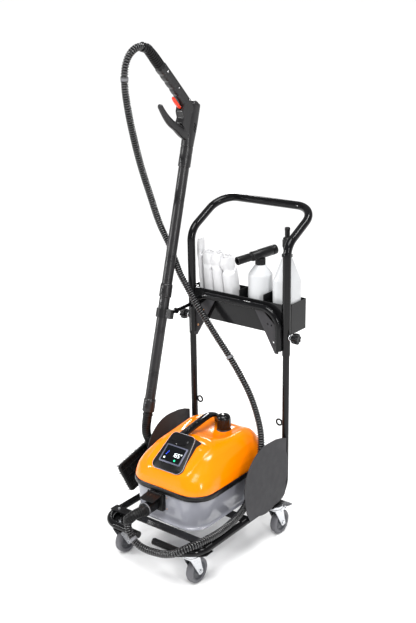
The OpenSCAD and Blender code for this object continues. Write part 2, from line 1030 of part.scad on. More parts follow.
module gun_half_shell(side) {
  difference() {
    union() {
      intersection() {
        in_gun_plane(2 * gun_half)
          gun_side();
        translate([wand_x + (side > 0 ? 0 : -60), -300, 1100])
          cube([60, 600, 500]);
      }
      intersection() {
        rod(wand_at(gun_s), wand_at(gun_s + 60), collar_r);
        translate([wand_x + (side > 0 ? 0 : -60), -300, 1100])
          cube([60, 600, 500]);
      }
    }
    rod(wand_at(gun_s - 1), wand_at(gun_s + 190), steam_r + 2);
    rod([wand_x, 62, 1338], [wand_x, -90, 1497], steam_r + 2);
    in_gun_plane(13)
      ribbon([[26, 1346], [-2, 1374], [-22, 1396]], [9, 12, 11]);
    button_slot(button_s[2], fit + 2);
    translate([wand_x, trigger_pin[0], trigger_pin[1]])
      rotate([0, 90, 0])
        cylinder(h = 24, r = 2 + fit, center = true, $fn = round_fn);
  }
}

module gun_shell_left() {
  color("#2c2b2f") gun_half_shell(-1);
}

module gun_shell_right() {
  color("#2c2b2f") gun_half_shell(1);
}

module gun_trigger() {
  color("#f03a22") {
    in_gun_plane(12)
      trigger_side();
    translate([wand_x, trigger_pin[0], trigger_pin[1]])
      rotate([0, 90, 0])
        cylinder(h = 22, r = 2, center = true, $fn = round_fn);
  }
}

screw_spots = [[-58, 1465], [-7, 1413], [44, 1372], [88, 1330], [52, 1232], [76, 1352]];

module gun_screws() {
  color("#d8d8da")
    for (spot = screw_spots)
      translate([wand_x + gun_half, spot[0], spot[1]])
        rotate([0, 90, 0])
          cylinder(h = 1.2, r = 2.8, $fn = round_fn);
}

module gun_cuff() {
  route = [
    [wand_x, -74.3, 1481.3], [wand_x, -90, 1497.2], [wand_x, -106, 1513.4],
    [wand_x, -121, 1527.5], [wand_x, -135.2, 1538.5], hose_route[len(hose_route) - 1]
  ];
  color("#1b1b1d")
    sweep(route, [16, 16, 15.5, 15, 14.5, 14], 24);
}

// ---------------------------------------------------------------- tray contents

module cloth_roll(x, y, h, tilt) {
  translate([x, y, tray_floor + sheet + gap])
    rotate([0, tilt, 0])
      translate([-19, -30, 0])
        cube([36, 62, h]);
}

module cloths() {
  color("#f2f2f2") {
    translate([-176, 20, tray_floor + sheet + gap])
      cube([14, 66, 250]);
    cloth_roll(-138, 48, 214, 0);
    cloth_roll(-98, 48, 212, 0);
    cloth_roll(-58, 48, 208, 0);
  }
}

bottle_z = tray_floor + sheet + gap;
spray_c = [55, 47];
dosing_c = [147, 51];

module spray_bottle() {
  translate([spray_c[0], spray_c[1], bottle_z]) {
    color("#eef0f2")
      rotate_extrude($fn = round_fn)
        polygon([[0, 0], [37, 0], [39, 3], [39, 168], [34, 182], [16, 196], [13, 200], [13, 208], [0, 208]]);
    color("#17171a") {
      translate([0, 0, 196])
        cylinder(h = 22, r = 16.5, $fn = round_fn);
    }
  }
  color("#17171a") {
    rod([spray_c[0] + 19, spray_c[1] + 59, 916], [spray_c[0] - 11, spray_c[1] - 34, 906], 16);
    rod([spray_c[0] - 11, spray_c[1] - 34, 906], [spray_c[0] - 28, spray_c[1] - 86, 900.4], 13.5);
  }
}

module dosing_bottle() {
  translate([dosing_c[0], dosing_c[1], bottle_z]) {
    color("#eef0f2")
      rotate_extrude($fn = round_fn)
        polygon([[0, 0], [38, 0], [41, 3], [41, 170], [38, 180], [16, 232], [13, 238], [0, 238]]);
    color("#17171a") {
      translate([0, 0, 236])
        cylinder(h = 8, r = 17, $fn = round_fn);
      translate([0, 0, 244])
        cylinder(h = 24, r = 12, $fn = round_fn);
      translate([0, 0, 268])
        cylinder(h = 30, r = 17, $fn = 6);
      translate([0, 0, 298])
        cylinder(h = 30, r = 8, $fn = round_fn);
    }
  }
}

// ---------------------------------------------------------------- hose

module hose() {
  color("#1a1a1c")
    sweep(hose_route, [for (p = hose_route) hose_d / 2], 10);
}

place() side_tube_left();
place() side_tube_right();
place() tube_end_plugs();
place() cross_bars();
place() caster_plates();
place() side_plate_left();
place() side_plate_right();
place() handle_tube();
place() tool_arch();
place() gussets();
place() tray();
place() frame_screws();
place() caster_fork_fl();
place() caster_fork_fr();
place() caster_fork_rl();
place() caster_fork_rr();
place() caster_wheel_fl();
place() caster_wheel_fr();
place() caster_wheel_rl();
place() caster_wheel_rr();
place() brake_pedal_left();
place() brake_pedal_right();
place() clamp_knob_left();
place() clamp_knob_right();
place() clip_rod();
place() wand_clip();
place() lower_shell();
place() belt_band();
place() top_shell();
place() console();
place() display();
place() carry_handle();
place() filler_neck();
place() cap_seal();
place() filler_cap();
place() steam_socket();
place() socket_flap();
place() hose_plug();
place() boiler();
place() water_pump();
place() steam_valve();
place() control_board();
place() mains_inlet();
place() machine_screws();
place() gun_shell_left();
place() gun_shell_right();
place() gun_trigger();
place() gun_screws();
place() gun_cuff();
place() wand_tube_upper();
place() wand_tube_lower();
place() release_button_upper();
place() release_button_middle();
place() release_button_lower();
place() elbow();
place() brush_head();
place() cloths();
place() spray_bottle();
place() dosing_bottle();
place() hose();
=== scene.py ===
"""The looks of a steam cleaner on a four-caster trolley, built around its CAD frame."""

import random
from math import acos, atan2, ceil, copysign, cos, exp, hypot, pi, radians, sin, sqrt, tan

import bmesh
import bpy
from mathutils import Matrix, Vector, noise


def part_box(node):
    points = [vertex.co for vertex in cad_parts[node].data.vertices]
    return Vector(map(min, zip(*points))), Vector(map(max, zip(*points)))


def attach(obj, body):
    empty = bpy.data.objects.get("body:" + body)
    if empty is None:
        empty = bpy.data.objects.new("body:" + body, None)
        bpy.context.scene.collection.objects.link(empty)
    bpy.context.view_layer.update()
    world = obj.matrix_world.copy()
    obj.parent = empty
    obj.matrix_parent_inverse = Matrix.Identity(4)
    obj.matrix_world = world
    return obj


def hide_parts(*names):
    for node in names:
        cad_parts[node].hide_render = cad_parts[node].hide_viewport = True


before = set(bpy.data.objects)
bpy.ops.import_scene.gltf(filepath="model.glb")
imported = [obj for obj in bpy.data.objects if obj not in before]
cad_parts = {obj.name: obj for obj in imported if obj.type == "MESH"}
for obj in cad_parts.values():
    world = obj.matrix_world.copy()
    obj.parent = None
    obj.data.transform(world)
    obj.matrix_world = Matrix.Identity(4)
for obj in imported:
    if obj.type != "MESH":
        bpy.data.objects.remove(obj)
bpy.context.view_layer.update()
scene = bpy.context.scene

# --- the trolley's own axes
# Shapes are drawn in millimetres, with x = 0 in the middle, y = 0 at the posts and
# z = 0 on the floor. ORIGIN moves them into the row frame.

MM = 0.001
TUBE_R = 11
_left, _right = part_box("side_tube_left"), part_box("side_tube_right")
ORIGIN = Vector(((_left[0].x + _right[1].x) / 2, _left[1].y - TUBE_R * MM, 0))


def row(p):
    return Vector(p) * MM + ORIGIN


def turn(degrees, axis):
    return Matrix.Rotation(radians(degrees), 4, axis)


def place(x, y, z):
    return Matrix.Translation((x, y, z))


LEAN = 15.5
WAND_X = -232
WAND_FOOT = Vector((WAND_X, -188.4, 380))
WAND_UP = Vector((0, sin(radians(LEAN)), cos(radians(LEAN))))
WAND_R = 17.5
COLLAR_R = 20.5
BUTTON_UP = 20
LOWER_LEN = 384
GUN_S = 809
GUN_HALF = 17
BARREL_FROM = 66
BARREL_LEN = 142
CASE_X = -4
BELT_Z = 238
BASE_Z = 141.5
TRAY_FLOOR = 678.8

SCREEN = place(0, -337, 348.5) @ turn(39, "X")
BRUSH = place(-234.5, -181.5, 217) @ turn(14, "X") @ turn(-20.3, "Y")
FLAP_HINGE = (-25, -399, 237.5)
SOCKET = (-25, -390, 208)
PLUG_Z = 203
CAP = (19, -106)
CASTERS = {"fl": (-144, -439), "fr": (144, -439), "rl": (-186, -55), "rr": (186, -55)}
TRAIL = 25
AXLE_Z = 40

HOSE_D = 23
HOSE_ROUTE = [
    (-46, -505, 178), (-42, -507, 156), (-31, -508, 137), (-13, -508, 122), (10, -508, 114),
    (34, -507, 112), (60, -506, 114), (88, -505, 118), (112, -502, 125), (132, -498, 133),
    (145, -491, 141), (158, -478, 148), (172, -455, 153), (180, -425, 155), (184, -390, 154),
    (184, -345, 151), (182, -295, 152), (178, -250, 155), (173, -214, 163), (170, -182, 181),
    (170, -156, 208), (170, -137, 242), (170, -121, 284), (168, -110, 330), (160, -101, 378),
    (140, -92, 428), (108, -81, 480), (60, -70, 537), (8, -60, 589), (-40, -54, 635),
    (-86, -49, 682), (-130, -45, 730), (-172, -40, 778), (-210, -34, 824), (-244, -20, 868),
    (-268, -22, 918), (-283, -42, 980), (-288, -76, 1074), (-284, -125, 1190),
    (-273, -164, 1282), (-260, -198, 1370), (-250, -217, 1434), (-244, -222, 1474),
    (-240, -219, 1499), (-237, -209, 1520), (-234, -193, 1535), (-232, -175, 1543),
    (-232, -157, 1544), (-232, -141, 1540),
]


def added(name, data):
    obj = bpy.data.objects.new(name, data)
    scene.collection.objects.link(obj)
    return obj


def wand_at(s):
    return WAND_FOOT + s * WAND_UP


def wand_frame(s):
    return Matrix.Translation(wand_at(s)) @ turn(-LEAN, "X")


# --- camera


def make_camera():
    yaw, pitch, roll = radians(38.17), radians(18.21), radians(-0.95)
    look = Vector((-sin(yaw) * cos(pitch), cos(yaw) * cos(pitch), -sin(pitch)))
    right = look.cross(Vector((0, 0, 1))).normalized()
    up = right.cross(look)
    right_rolled = cos(roll) * right + sin(roll) * up
    up_rolled = cos(roll) * up - sin(roll) * right
    data = bpy.data.cameras.new("camera")
    data.sensor_width = 36
    data.lens = 56.2
    data.clip_start = 0.05
    camera = added("camera", data)
    turned = Matrix((right_rolled, up_rolled, -look)).transposed().to_4x4()
    camera.matrix_world = Matrix.Translation(row((1754, -2386, 1696))) @ turned
    scene.camera = camera


# --- materials


MATS = {}


def link(tree, a, out, b, into):
    tree.links.new(a.outputs[out], b.inputs[into])


def node(tree, kind, **values):
    """A new node with its inputs set; an underscore stands for a space in an input's name."""
    made = tree.nodes.new("ShaderNode" + kind)
    for key, value in values.items():
        made.inputs[key.replace("_", " ")].default_value = value
    return made


def texture(tree, coords, scale, detail=3.0, stretch=(1, 1, 1)):
    mapping = node(tree, "Mapping", Scale=stretch)
    spots = node(tree, "TexNoise", Scale=scale, Detail=detail)
    link(tree, coords, "Object", mapping, "Vector")
    link(tree, mapping, "Vector", spots, "Vector")
    return spots


def blended(tree, high):
    """A colour mix whose second colour is set."""
    made = node(tree, "Mix")
    made.data_type = "RGBA"
    made.inputs[7].default_value = (*[min(1, c) for c in high], 1)
    return made


def surface(name, color, rough, metallic=0.0, vary=0.05, grain=900.0, depth=0.05, shade=0.08,
            wear=0.0, spec=0.5, brushed=(1, 1, 1), **sockets):
    """A procedural material: mottled colour and roughness, a grain depth mm deep, and worn edges."""
    made = MATS[name] = bpy.data.materials.new(name)
    made.use_nodes = True
    tree = made.node_tree
    shader = tree.nodes["Principled BSDF"]
    coords = node(tree, "TexCoord")
    shader.inputs["Metallic"].default_value = metallic
    shader.inputs["Specular IOR Level"].default_value = spec
    for socket, value in sockets.items():
        shader.inputs[socket.replace("_", " ")].default_value = value

    tone = blended(tree, [c * (1 + shade) for c in color])
    tone.inputs[6].default_value = (*[c * (1 - shade) for c in color], 1)
    link(tree, texture(tree, coords, 14, stretch=brushed), "Fac", tone, 0)
    base = tone
    if wear:
        ramp = node(tree, "MapRange", From_Min=0.53, From_Max=0.62, To_Max=wear)
        link(tree, node(tree, "NewGeometry"), "Pointiness", ramp, "Value")
        base = blended(tree, [c * 2.2 + 0.05 for c in color])
        link(tree, ramp, "Result", base, 0)
        link(tree, tone, 2, base, 6)
    link(tree, base, 2, shader, "Base Color")

    gloss = node(tree, "MapRange", From_Min=0.3, From_Max=0.7, To_Min=max(0.02, rough - vary),
                 To_Max=rough + vary)
    link(tree, texture(tree, coords, 45, stretch=brushed), "Fac", gloss, "Value")
    link(tree, gloss, "Result", shader, "Roughness")

    bump = node(tree, "Bump", Strength=0.6, Distance=depth * MM)
    link(tree, texture(tree, coords, grain, 2, brushed), "Fac", bump, "Height")
    link(tree, bump, "Normal", shader, "Normal")
    return made


def woven(name, color):
    """White microfibre: a fine two-way weave under a soft fuzz."""
    made = surface(name, color, 0.85, vary=0.06, grain=500, depth=0.4, shade=0.03, Sheen_Weight=0.35)
    tree = made.node_tree
    shader = tree.nodes["Principled BSDF"]
    coords = node(tree, "TexCoord")
    bump = node(tree, "Bump", Strength=0.5, Distance=0.4 * MM)
    threads = node(tree, "Math")
    threads.operation = "MULTIPLY"
    for i, way in enumerate(("Z", "DIAGONAL")):
        wave = node(tree, "TexWave", Scale=180, Distortion=1.5)
        wave.bands_direction = way
        link(tree, coords, "Object", wave, "Vector")
        link(tree, wave, "Fac", threads, i)
    link(tree, threads, "Value", bump, "Height")
    link(tree, shader.inputs["Normal"].links[0].from_node, "Normal", bump, "Normal")
    link(tree, bump, "Normal", shader, "Normal")


def glowing(name, color, strength):
    surface(name, color, 0.4, vary=0.02, shade=0.03, Emission_Color=(*color, 1), Emission_Strength=strength)


surface("black_gloss", (0.004, 0.004, 0.0045), 0.14, vary=0.03, grain=420, wear=0.1, spec=0.2)
surface("plate_grey", (0.022, 0.0215, 0.024), 0.5, grain=1100, depth=0.09, wear=0.2, spec=0.2)
surface("black_plastic", (0.005, 0.005, 0.0054), 0.36, grain=1400, depth=0.06, wear=0.1, spec=0.22)
surface("black_rubber", (0.005, 0.005, 0.0054), 0.42, grain=1600, depth=0.06, spec=0.25)
surface("belt_rubber", (0.005, 0.005, 0.0055), 0.3, grain=1200, depth=0.04, spec=0.3)
surface("knob_plastic", (0.004, 0.004, 0.0045), 0.34, grain=1300, wear=0.1, spec=0.25)
surface("copper_screw", (0.62, 0.32, 0.16), 0.3, metallic=1, grain=700, shade=0.2)
surface("zinc", (0.62, 0.63, 0.65), 0.28, metallic=1, vary=0.1, grain=380, depth=0.08, shade=0.14)
surface("tyre", (0.11, 0.11, 0.12), 0.62, depth=0.1, shade=0.15)
surface("hub", (0.05, 0.052, 0.06), 0.42, grain=1200, wear=0.2)
surface("pedal_grey", (0.03, 0.032, 0.038), 0.45, grain=1200, wear=0.2)
surface("silver_shell", (0.27, 0.275, 0.31), 0.15, vary=0.03, grain=260, depth=0.03, Coat_Weight=0.3,
        Coat_Roughness=0.04, shade=0.03)
surface("orange_shell", (1.0, 0.225, 0.0), 0.16, vary=0.03, grain=220, depth=0.03, shade=0.03, spec=0.32)
surface("panel_black", (0.004, 0.004, 0.0045), 0.3, vary=0.04, grain=1000, depth=0.04, spec=0.25)
surface("ledge_grey", (0.014, 0.014, 0.016), 0.34, grain=1300, spec=0.3)
surface("bezel_grey", (0.085, 0.09, 0.13), 0.35, metallic=0.3, grain=1500)
surface("screen_glass", (0.004, 0.005, 0.006), 0.1, vary=0.02, grain=300, depth=0.01, spec=0.12)
surface("gloss_black", (0.004, 0.004, 0.0045), 0.12, vary=0.03, grain=500, depth=0.03, spec=0.35)
surface("neck_plastic", (0.02, 0.02, 0.022), 0.35, grain=1300)
surface("seal_rubber", (0.01, 0.01, 0.01), 0.6, grain=1600)
surface("boiler_steel", (0.6, 0.6, 0.62), 0.3, metallic=1, brushed=(8, 1, 8))
surface("pump_plastic", (0.04, 0.04, 0.05), 0.5, grain=1200)
surface("valve_brass", (0.7, 0.5, 0.2), 0.3, metallic=1, grain=800)
surface("circuit_board", (0.02, 0.12, 0.05), 0.35, grain=600)
surface("wand_plastic", (0.011, 0.0105, 0.0115), 0.33, grain=1500, depth=0.06, wear=0.1, spec=0.42)
surface("trigger_red", (0.85, 0.04, 0.01), 0.3)
surface("bright_screw", (0.78, 0.78, 0.8), 0.2, metallic=1, grain=700)
surface("button_black", (0.008, 0.008, 0.009), 0.3, grain=1300)
woven("white_cloth", (0.58, 0.58, 0.59))
surface("bottle_plastic", (0.56, 0.57, 0.58), 0.34, grain=500, depth=0.06, shade=0.04,
        Transmission_Weight=0.06)
# The hose's groove colour: a far darker, duller copy of the hose rubber, painted shade in the corrugation's
# valleys.
surface("hose_groove_painted_shade", (0.0015, 0.0015, 0.0016), 0.6, grain=1500, spec=0.1)
surface("hose_black", (0.017, 0.017, 0.018), 0.22, vary=0.03, depth=0.04, spec=0.75)
surface("clip_grey", (0.16, 0.16, 0.17), 0.35, grain=1200)
surface("bristle", (0.01, 0.01, 0.011), 0.35, grain=800)
# A pale grey for the bead round the console panel's rim: a painted highlight along its edge.
surface("edge_light", (0.42, 0.42, 0.44), 0.3, grain=1200)
glowing("digits", (0.85, 0.93, 0.95), 1.2)
glowing("blue_mark", (0.02, 0.08, 0.9), 1.2)
glowing("green_dot", (0.0, 0.55, 0.25), 1.0)
glowing("white_dot", (0.7, 0.78, 0.75), 0.7)


# --- mesh code
# A part is (points, faces) in millimetres. Parts are joined into pieces, and a part that
# has a material of its own is written (part, material).


def loft(rings, cap=True):
    n = len(rings[0])
    faces = [
        (i * n + k, i * n + (k + 1) % n, (i + 1) * n + (k + 1) % n, (i + 1) * n + k)
        for i in range(len(rings) - 1) for k in range(n)
    ]
    if cap:
        faces.append(tuple(reversed(range(n))))
        faces.append(tuple(range((len(rings) - 1) * n, len(rings) * n)))
    return [Vector(v) for ring in rings for v in ring], faces


def lathe(profile, matrix, n=48, ripple=None):
    """Turns (radius, height) points about the matrix's Z axis; ripple changes the radius by angle."""
    rings = []
    for r, h in profile:
        ring = []
        for k in range(n):
            angle = 2 * pi * k / n
            reach = r if ripple is None else ripple(r, h, angle)
            ring.append(matrix @ Vector((reach * cos(angle), reach * sin(angle), h)))
        rings.append(ring)
    return loft(rings)


def mirrored(half):
    """A profile with its own mirror image about height 0 after it."""
    return half + [(r, -h) for r, h in reversed(half)]


def along(path, side):
    """Points with two cross directions each, carried along the path without twisting."""
    out = []
    for i, p in enumerate(path):
        ahead = (path[min(i + 1, len(path) - 1)] - path[max(i - 1, 0)]).normalized()
        side = (side - side.dot(ahead) * ahead).normalized()
        out.append((p, side, ahead.cross(side)))
    return out


def sweep(path, section, side=(1, 0.1, 0.05)):
    """section(i, share) gives the outline at each point as (along side, across) pairs."""
    last = len(path) - 1
    return loft([
        [p + a * u + b * v for a, b in section(i, i / last)]
        for i, (p, u, v) in enumerate(along(path, Vector(side)))
    ])


def ring_of(r, n=24):
    return [(r * cos(2 * pi * k / n), r * sin(2 * pi * k / n)) for k in range(n)]


def oval(a, b, power=2.0, n=32):
    """A superellipse: power 2 is an ellipse, and more is squarer."""
    out = []
    for k in range(n):
        c, s = cos(2 * pi * k / n), sin(2 * pi * k / n)
        out.append((a * copysign(abs(c) ** (2 / power), c), b * copysign(abs(s) ** (2 / power), s)))
    return out


def hermite(p, q, u, v, t):
    return (
        p * (2 * t**3 - 3 * t**2 + 1) + u * (t**3 - 2 * t**2 + t)
        + q * (3 * t**2 - 2 * t**3) + v * (t**3 - t**2)
    )


def spline(points, step):
    """A smooth curve through the points, as points evenly spaced by about step."""
    pts = [Vector(p) for p in points]
    gaps = [(b - a).length for a, b in zip(pts, pts[1:])]
    slopes = [(b - a) / g for a, b, g in zip(pts, pts[1:], gaps)]
    tangents = [slopes[0]]
    for i in range(1, len(pts) - 1):
        tangents.append((slopes[i - 1] * gaps[i] + slopes[i] * gaps[i - 1]) / (gaps[i - 1] + gaps[i]))
    tangents.append(slopes[-1])
    fine = []
    for i, gap in enumerate(gaps):
        n = max(3, ceil(3 * gap / step))
        fine += [
            hermite(pts[i], pts[i + 1], tangents[i] * gap, tangents[i + 1] * gap, k / n) for k in range(n)
        ]
    fine.append(pts[-1])
    runs = [0]
    for a, b in zip(fine, fine[1:]):
        runs.append(runs[-1] + (b - a).length)
    count = max(2, round(runs[-1] / step))
    out, j = [], 0
    for i in range(count + 1):
        want = runs[-1] * i / count
        while j < len(runs) - 2 and runs[j + 1] < want:
            j += 1
        out.append(fine[j].lerp(fine[j + 1], (want - runs[j]) / (runs[j + 1] - runs[j])))
    return out


def rounded(corners, radius, n=6):
    """A closed outline through the corners, each rounded."""
    out = []
    for i, c in enumerate(corners):
        c, a, b = Vector(c), Vector(corners[i - 1]), Vector(corners[(i + 1) % len(corners)])
        r = radius[i] if isinstance(radius, (list, tuple)) else radius
        u, v = (a - c).normalized(), (b - c).normalized()
        half = acos(max(-1, min(1, u.dot(v)))) / 2
        centre = c + (u + v).normalized() * (r / sin(half))
        start, end = c + u * (r / tan(half)) - centre, c + v * (r / tan(half)) - centre
        swing = pi - 2 * half
        for k in range(n + 1):
            t = k / n
            spoke = (start * sin((1 - t) * swing) + end * sin(t * swing)) / sin(swing)
            out.append(centre + spoke)
    return out


def grown(outline, d):
    """The outline moved outwards by d; it runs anticlockwise."""
    out = []
    for i, p in enumerate(outline):
        step = Vector(outline[(i + 1) % len(outline)]) - Vector(outline[i - 1])
        out.append(Vector(p) + Vector((step.y, -step.x)).normalized() * d)
    return out


def slab(outline, matrix, low, high, edge=0.8):
    """An extruded outline with softened rims, from height low to high."""
    levels = [(low, -edge), (low + 0.3 * edge, -0.3 * edge), (low + edge, 0),
              (high - edge, 0), (high - 0.3 * edge, -0.3 * edge), (high, -edge)]
    return loft([[matrix @ Vector((p.x, p.y, h)) for p in grown(outline, d)] for h, d in levels])


def rectangle(x, y, r, n=4):
    return rounded([(-x / 2, -y / 2), (x / 2, -y / 2), (x / 2, y / 2), (-x / 2, y / 2)], r, n)


def block(matrix, x, y, z, r=2, edge=0.8):
    """A box with round upright corners and soft rims, centred on the matrix's origin in x and y."""
    return slab(rectangle(x, y, r), matrix, 0, z, edge)


def between(p, q):
    """A matrix at p whose Z axis runs to q."""
    p, q = Vector(p), Vector(q)
    return Matrix.Translation(p) @ (q - p).to_track_quat("Z", "Y").to_matrix().to_4x4()


def hull_part(points):
    mesh = bmesh.new()
    for p in points:
        mesh.verts.new(p)
    made = bmesh.ops.convex_hull(mesh, input=mesh.verts)
    spare = {v for v in made["geom_interior"] + made["geom_unused"] if isinstance(v, bmesh.types.BMVert)}
    bmesh.ops.delete(mesh, geom=list(spare), context="VERTS")
    bmesh.ops.dissolve_limit(mesh, angle_limit=0.02, verts=mesh.verts, edges=mesh.edges)
    mesh.verts.index_update()
    part = [v.co.copy() for v in mesh.verts], [tuple(v.index for v in f.verts) for f in mesh.faces]
    mesh.free()
    return part


def made_object(name, parts, base, angle=35):
    verts, faces, kinds, used = [], [], [], []
    for part in parts:
        (points, sides), material = part if isinstance(part[1], str) else (part, base)
        if material not in used:
            used.append(material)
        kinds += [used.index(material)] * len(sides)
        faces += [[len(verts) + i for i in side] for side in sides]
        verts += points
    mesh = bpy.data.meshes.new(name)
    mesh.from_pydata([row(v) for v in verts], [], faces)
    for material in used:
        mesh.materials.append(MATS[material])
    mesh.polygons.foreach_set("material_index", kinds)
    work = bmesh.new()
    work.from_mesh(mesh)
    bmesh.ops.recalc_face_normals(work, faces=work.faces)
    work.to_mesh(mesh)
    work.free()
    shade(mesh, angle)
    return added(name, mesh)


def shade(mesh, angle):
    mesh.polygons.foreach_set("use_smooth", [True] * len(mesh.polygons))
    mesh.set_sharp_from_angle(angle=radians(angle))
    mesh.update()


def modify(obj, kind, **values):
    made = obj.modifiers.new(kind.lower(), kind)
    for key, value in values.items():
        setattr(made, key, value)
    return made


def baked(obj, angle=35):
    """Applies the modifiers, and leaves a plain mesh."""
    graph = bpy.context.evaluated_depsgraph_get()
    mesh = bpy.data.meshes.new_from_object(obj.evaluated_get(graph))
    obj.modifiers.clear()
    obj.data = mesh
    shade(mesh, angle)
    return obj


def bevelled(obj, width, angle=35):
    modify(obj, "BEVEL", width=width * MM, segments=3, limit_method="ANGLE", angle_limit=radians(angle))
    return baked(obj, angle)


def fused(obj, voxel, rounds):
    """Melts overlapping parts into one skin."""
    modify(obj, "REMESH", mode="VOXEL", voxel_size=voxel * MM)
    modify(obj, "SMOOTH", iterations=rounds, factor=0.5)
    return baked(obj, 60)


def settled(obj, slot, *stands_for, body="trolley"):
    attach(obj, body)
    if stands_for:
        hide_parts(*stands_for)
    return obj


def piece(name, parts, slot, *stands_for, body="trolley", angle=35):
    """A part without its own material gets the one that is named as the slot."""
    return settled(made_object(name, parts, slot, angle), slot, *stands_for, body=body)


def screw(matrix, r, bright, dark="button_black"):
    """A domed screw head in a well, with a cross recess; the well's ring and the cross are drawn in the
    second material, near-black by default, which is painted shade.
    """
    dome = [(0.01, 0.55 * r), (0.5 * r, 0.5 * r), (0.85 * r, 0.3 * r), (r, 0.05), (r, -0.6), (0.01, -0.6)]
    well = [(r + 0.1, 0.1), (1.35 * r, 0.25), (1.5 * r, 0.1), (1.5 * r, -0.6), (r + 0.1, -0.6)]
    # The well's ring and the cross bars stand proud in the dark material: painted shade in the recesses.
    parts = [(lathe(dome, matrix, 20), bright), (lathe(well, matrix, 20), dark)]
    for spin in (20, 110):
        slot_at = matrix @ turn(spin, "Z") @ place(0, 0, 0.42 * r)
        parts.append((block(slot_at, 1.1 * r, 0.28 * r, 0.2 * r, 0.1 * r, 0.03 * r), dark))
    return parts


make_camera()


# --- hose


def make_hose():
    pitch, sides, r = 7.8, 20, HOSE_D / 2
    wave = [ring_of(r - down, sides) for down in (0.4, 0, 0, 0.4, 2.2, 3.2, 3.2, 2.2)]
    painted_shade_rings = (4, 5, 6)
    path = spline(HOSE_ROUTE, pitch / len(wave))
    hose = made_object("hose_tube", [sweep(path, lambda i, t: wave[i % len(wave)])], "hose_black", 70)
    # The valley rings get the darker copy of the rubber: painted shade in the grooves.
    hose.data.materials.append(MATS["hose_groove_painted_shade"])
    kinds = [int(k // sides % len(wave) in painted_shade_rings) for k in range(len(hose.data.polygons))]
    hose.data.polygons.foreach_set("material_index", kinds)
    settled(hose, "hose_black", "hose")
    clips = []
    for i, share in enumerate((0.025, 0.472, 0.934)):
        k = round(share * (len(path) - 1))
        profile = mirrored([(r - 1, -4.4), (r + 0.8, -4.4), (r + 1.4, -3.2), (r + 0.8, -2),
                            (r + 0.1, -1.2)])
        matrix = between(path[k], path[k] + path[k + 6] - path[k - 6])
        clips.append(piece(f"hose_clip_{i + 1}", [(lathe(profile, matrix, 28), "clip_grey")],
                           "hose_black"))
    return hose, clips, path


hose, hose_clips, hose_path = make_hose()


# --- steam plug and socket


def ribbed(path, r_of, pitch, depth, n=28):
    """A sleeve of grip ribs along a path whose points are 1 mm apart."""
    def section(i, t):
        groove = 0 if (i % pitch) < pitch * 0.6 or t < 0.12 or t > 0.92 else depth
        return ring_of(r_of(t) - groove, n)
    return sweep(path, section)


def make_plug():
    x, y0 = SOCKET[0], -394
    straight = between((x, y0, PLUG_Z), (x, y0 - 66, PLUG_Z))
    body = [(0.1, 0), (17.5, 0), (18.5, 1), (18.5, 46), (19.5, 47), (20.6, 48), (21, 50), (21, 60),
            (20.4, 62), (17.5, 63.5), (16.5, 66), (0.1, 66)]
    bend = spline([(x, -459, PLUG_Z), (x, -464, PLUG_Z), (x - 4, -477, PLUG_Z - 1),
                   (x - 11, -492, PLUG_Z - 5), (x - 18, -501, PLUG_Z - 12), (-47.4, -504.3, 185.9),
                   HOSE_ROUTE[0]], 1)
    parts = [(lathe(body, straight, 48), "black_plastic"),
             ribbed(bend, lambda t: 16.6 - 3.2 * t, 6, 1.6)]
    for angle in range(0, 360, 30):
        rib = straight @ turn(angle, "Z") @ place(18.6, 0, 8)
        parts.append((block(rib, 1.2, 3, 34, 0.5, 0.3), "black_plastic"))
    parts.append((lathe([(21.2, 53), (21.7, 54), (21.7, 56), (21.2, 57)], straight, 48), "clip_grey"))
    piece("steam_plug", parts, "black_rubber", "hose_plug")


def make_socket():
    x, y, z = SOCKET[0], -402, 183
    parts = [block(place(x, y + 11, z), 60, 22, 50, 3, 1.2),
             block(place(x, y + 16.5, z - 3), 70, 5, 57, 4, 1)]
    for side in (-28.5, 28.5):
        parts.append(block(place(x + side, FLAP_HINGE[1], z + 48), 3, 6, 9, 1, 0.5))
    parts.append((lathe(mirrored([(0.1, -28), (1.5, -28)]),
                        place(*FLAP_HINGE) @ turn(90, "Y"), 16), "zinc"))
    return bevelled(made_object("steam_socket_block", parts, "black_plastic"), 0.5)


def make_flap():
    lid = place(*FLAP_HINGE) @ turn(8, "X")
    outline = rounded([(-26.5, -45), (26.5, -45), (26.5, -3), (-26.5, -3)], [6, 6, 1.5, 1.5], 5)
    parts = [slab(outline, lid, -1.5, 1.5, 0.8),
             lathe(mirrored([(1.6, -26), (3, -26)]), lid @ turn(90, "Y"), 20),
             block(lid @ place(0, -43, -3.6), 34, 2.4, 3, 1, 0.5)]
    for side in (-13, 0, 13):
        parts.append(block(lid @ place(side, -24, 1.2), 1.6, 30, 0.9, 0.5, 0.3))
    piece("socket_lid", parts, "black_plastic", "socket_flap", body="flap")


make_plug()
settled(make_socket(), "black_plastic", "steam_socket")
make_flap()


# --- machine


def case_outline(rear_half, front_half, rear, front, r, z, n=9, side_points=10):
    """The casing's plan at one level, with the same number of points at every level."""
    def arc(cx, cy, a0, a1):
        return [Vector((cx + r * cos(a), cy + r * sin(a), z))
                for a in (a0 + (a1 - a0) * k / n for k in range(n + 1))]
    slope = atan2(rear_half - front_half, rear - front - 2 * r)
    front_right = arc(front_half - r, front + r, -pi / 2, -slope)
    rear_right = arc(rear_half - r, rear - r, -slope, pi / 2)
    half = front_right
    half += [front_right[-1].lerp(rear_right[0], k / side_points) for k in range(1, side_points)]
    half += rear_right
    mirror = [Vector((-p.x, p.y, p.z)) for p in reversed(half)]
    return [p + Vector((CASE_X, 0, 0)) for p in half + mirror]


def mix(levels, z):
    """The casing's measures at height z, eased between the stated levels."""
    for (z0, *a), (z1, *b) in zip(levels, levels[1:]):
        if z <= z1:
            t = (z - z0) / (z1 - z0)
            return [p + (q - p) * t for p, q in zip(a, b)]
    return levels[-1][1:]


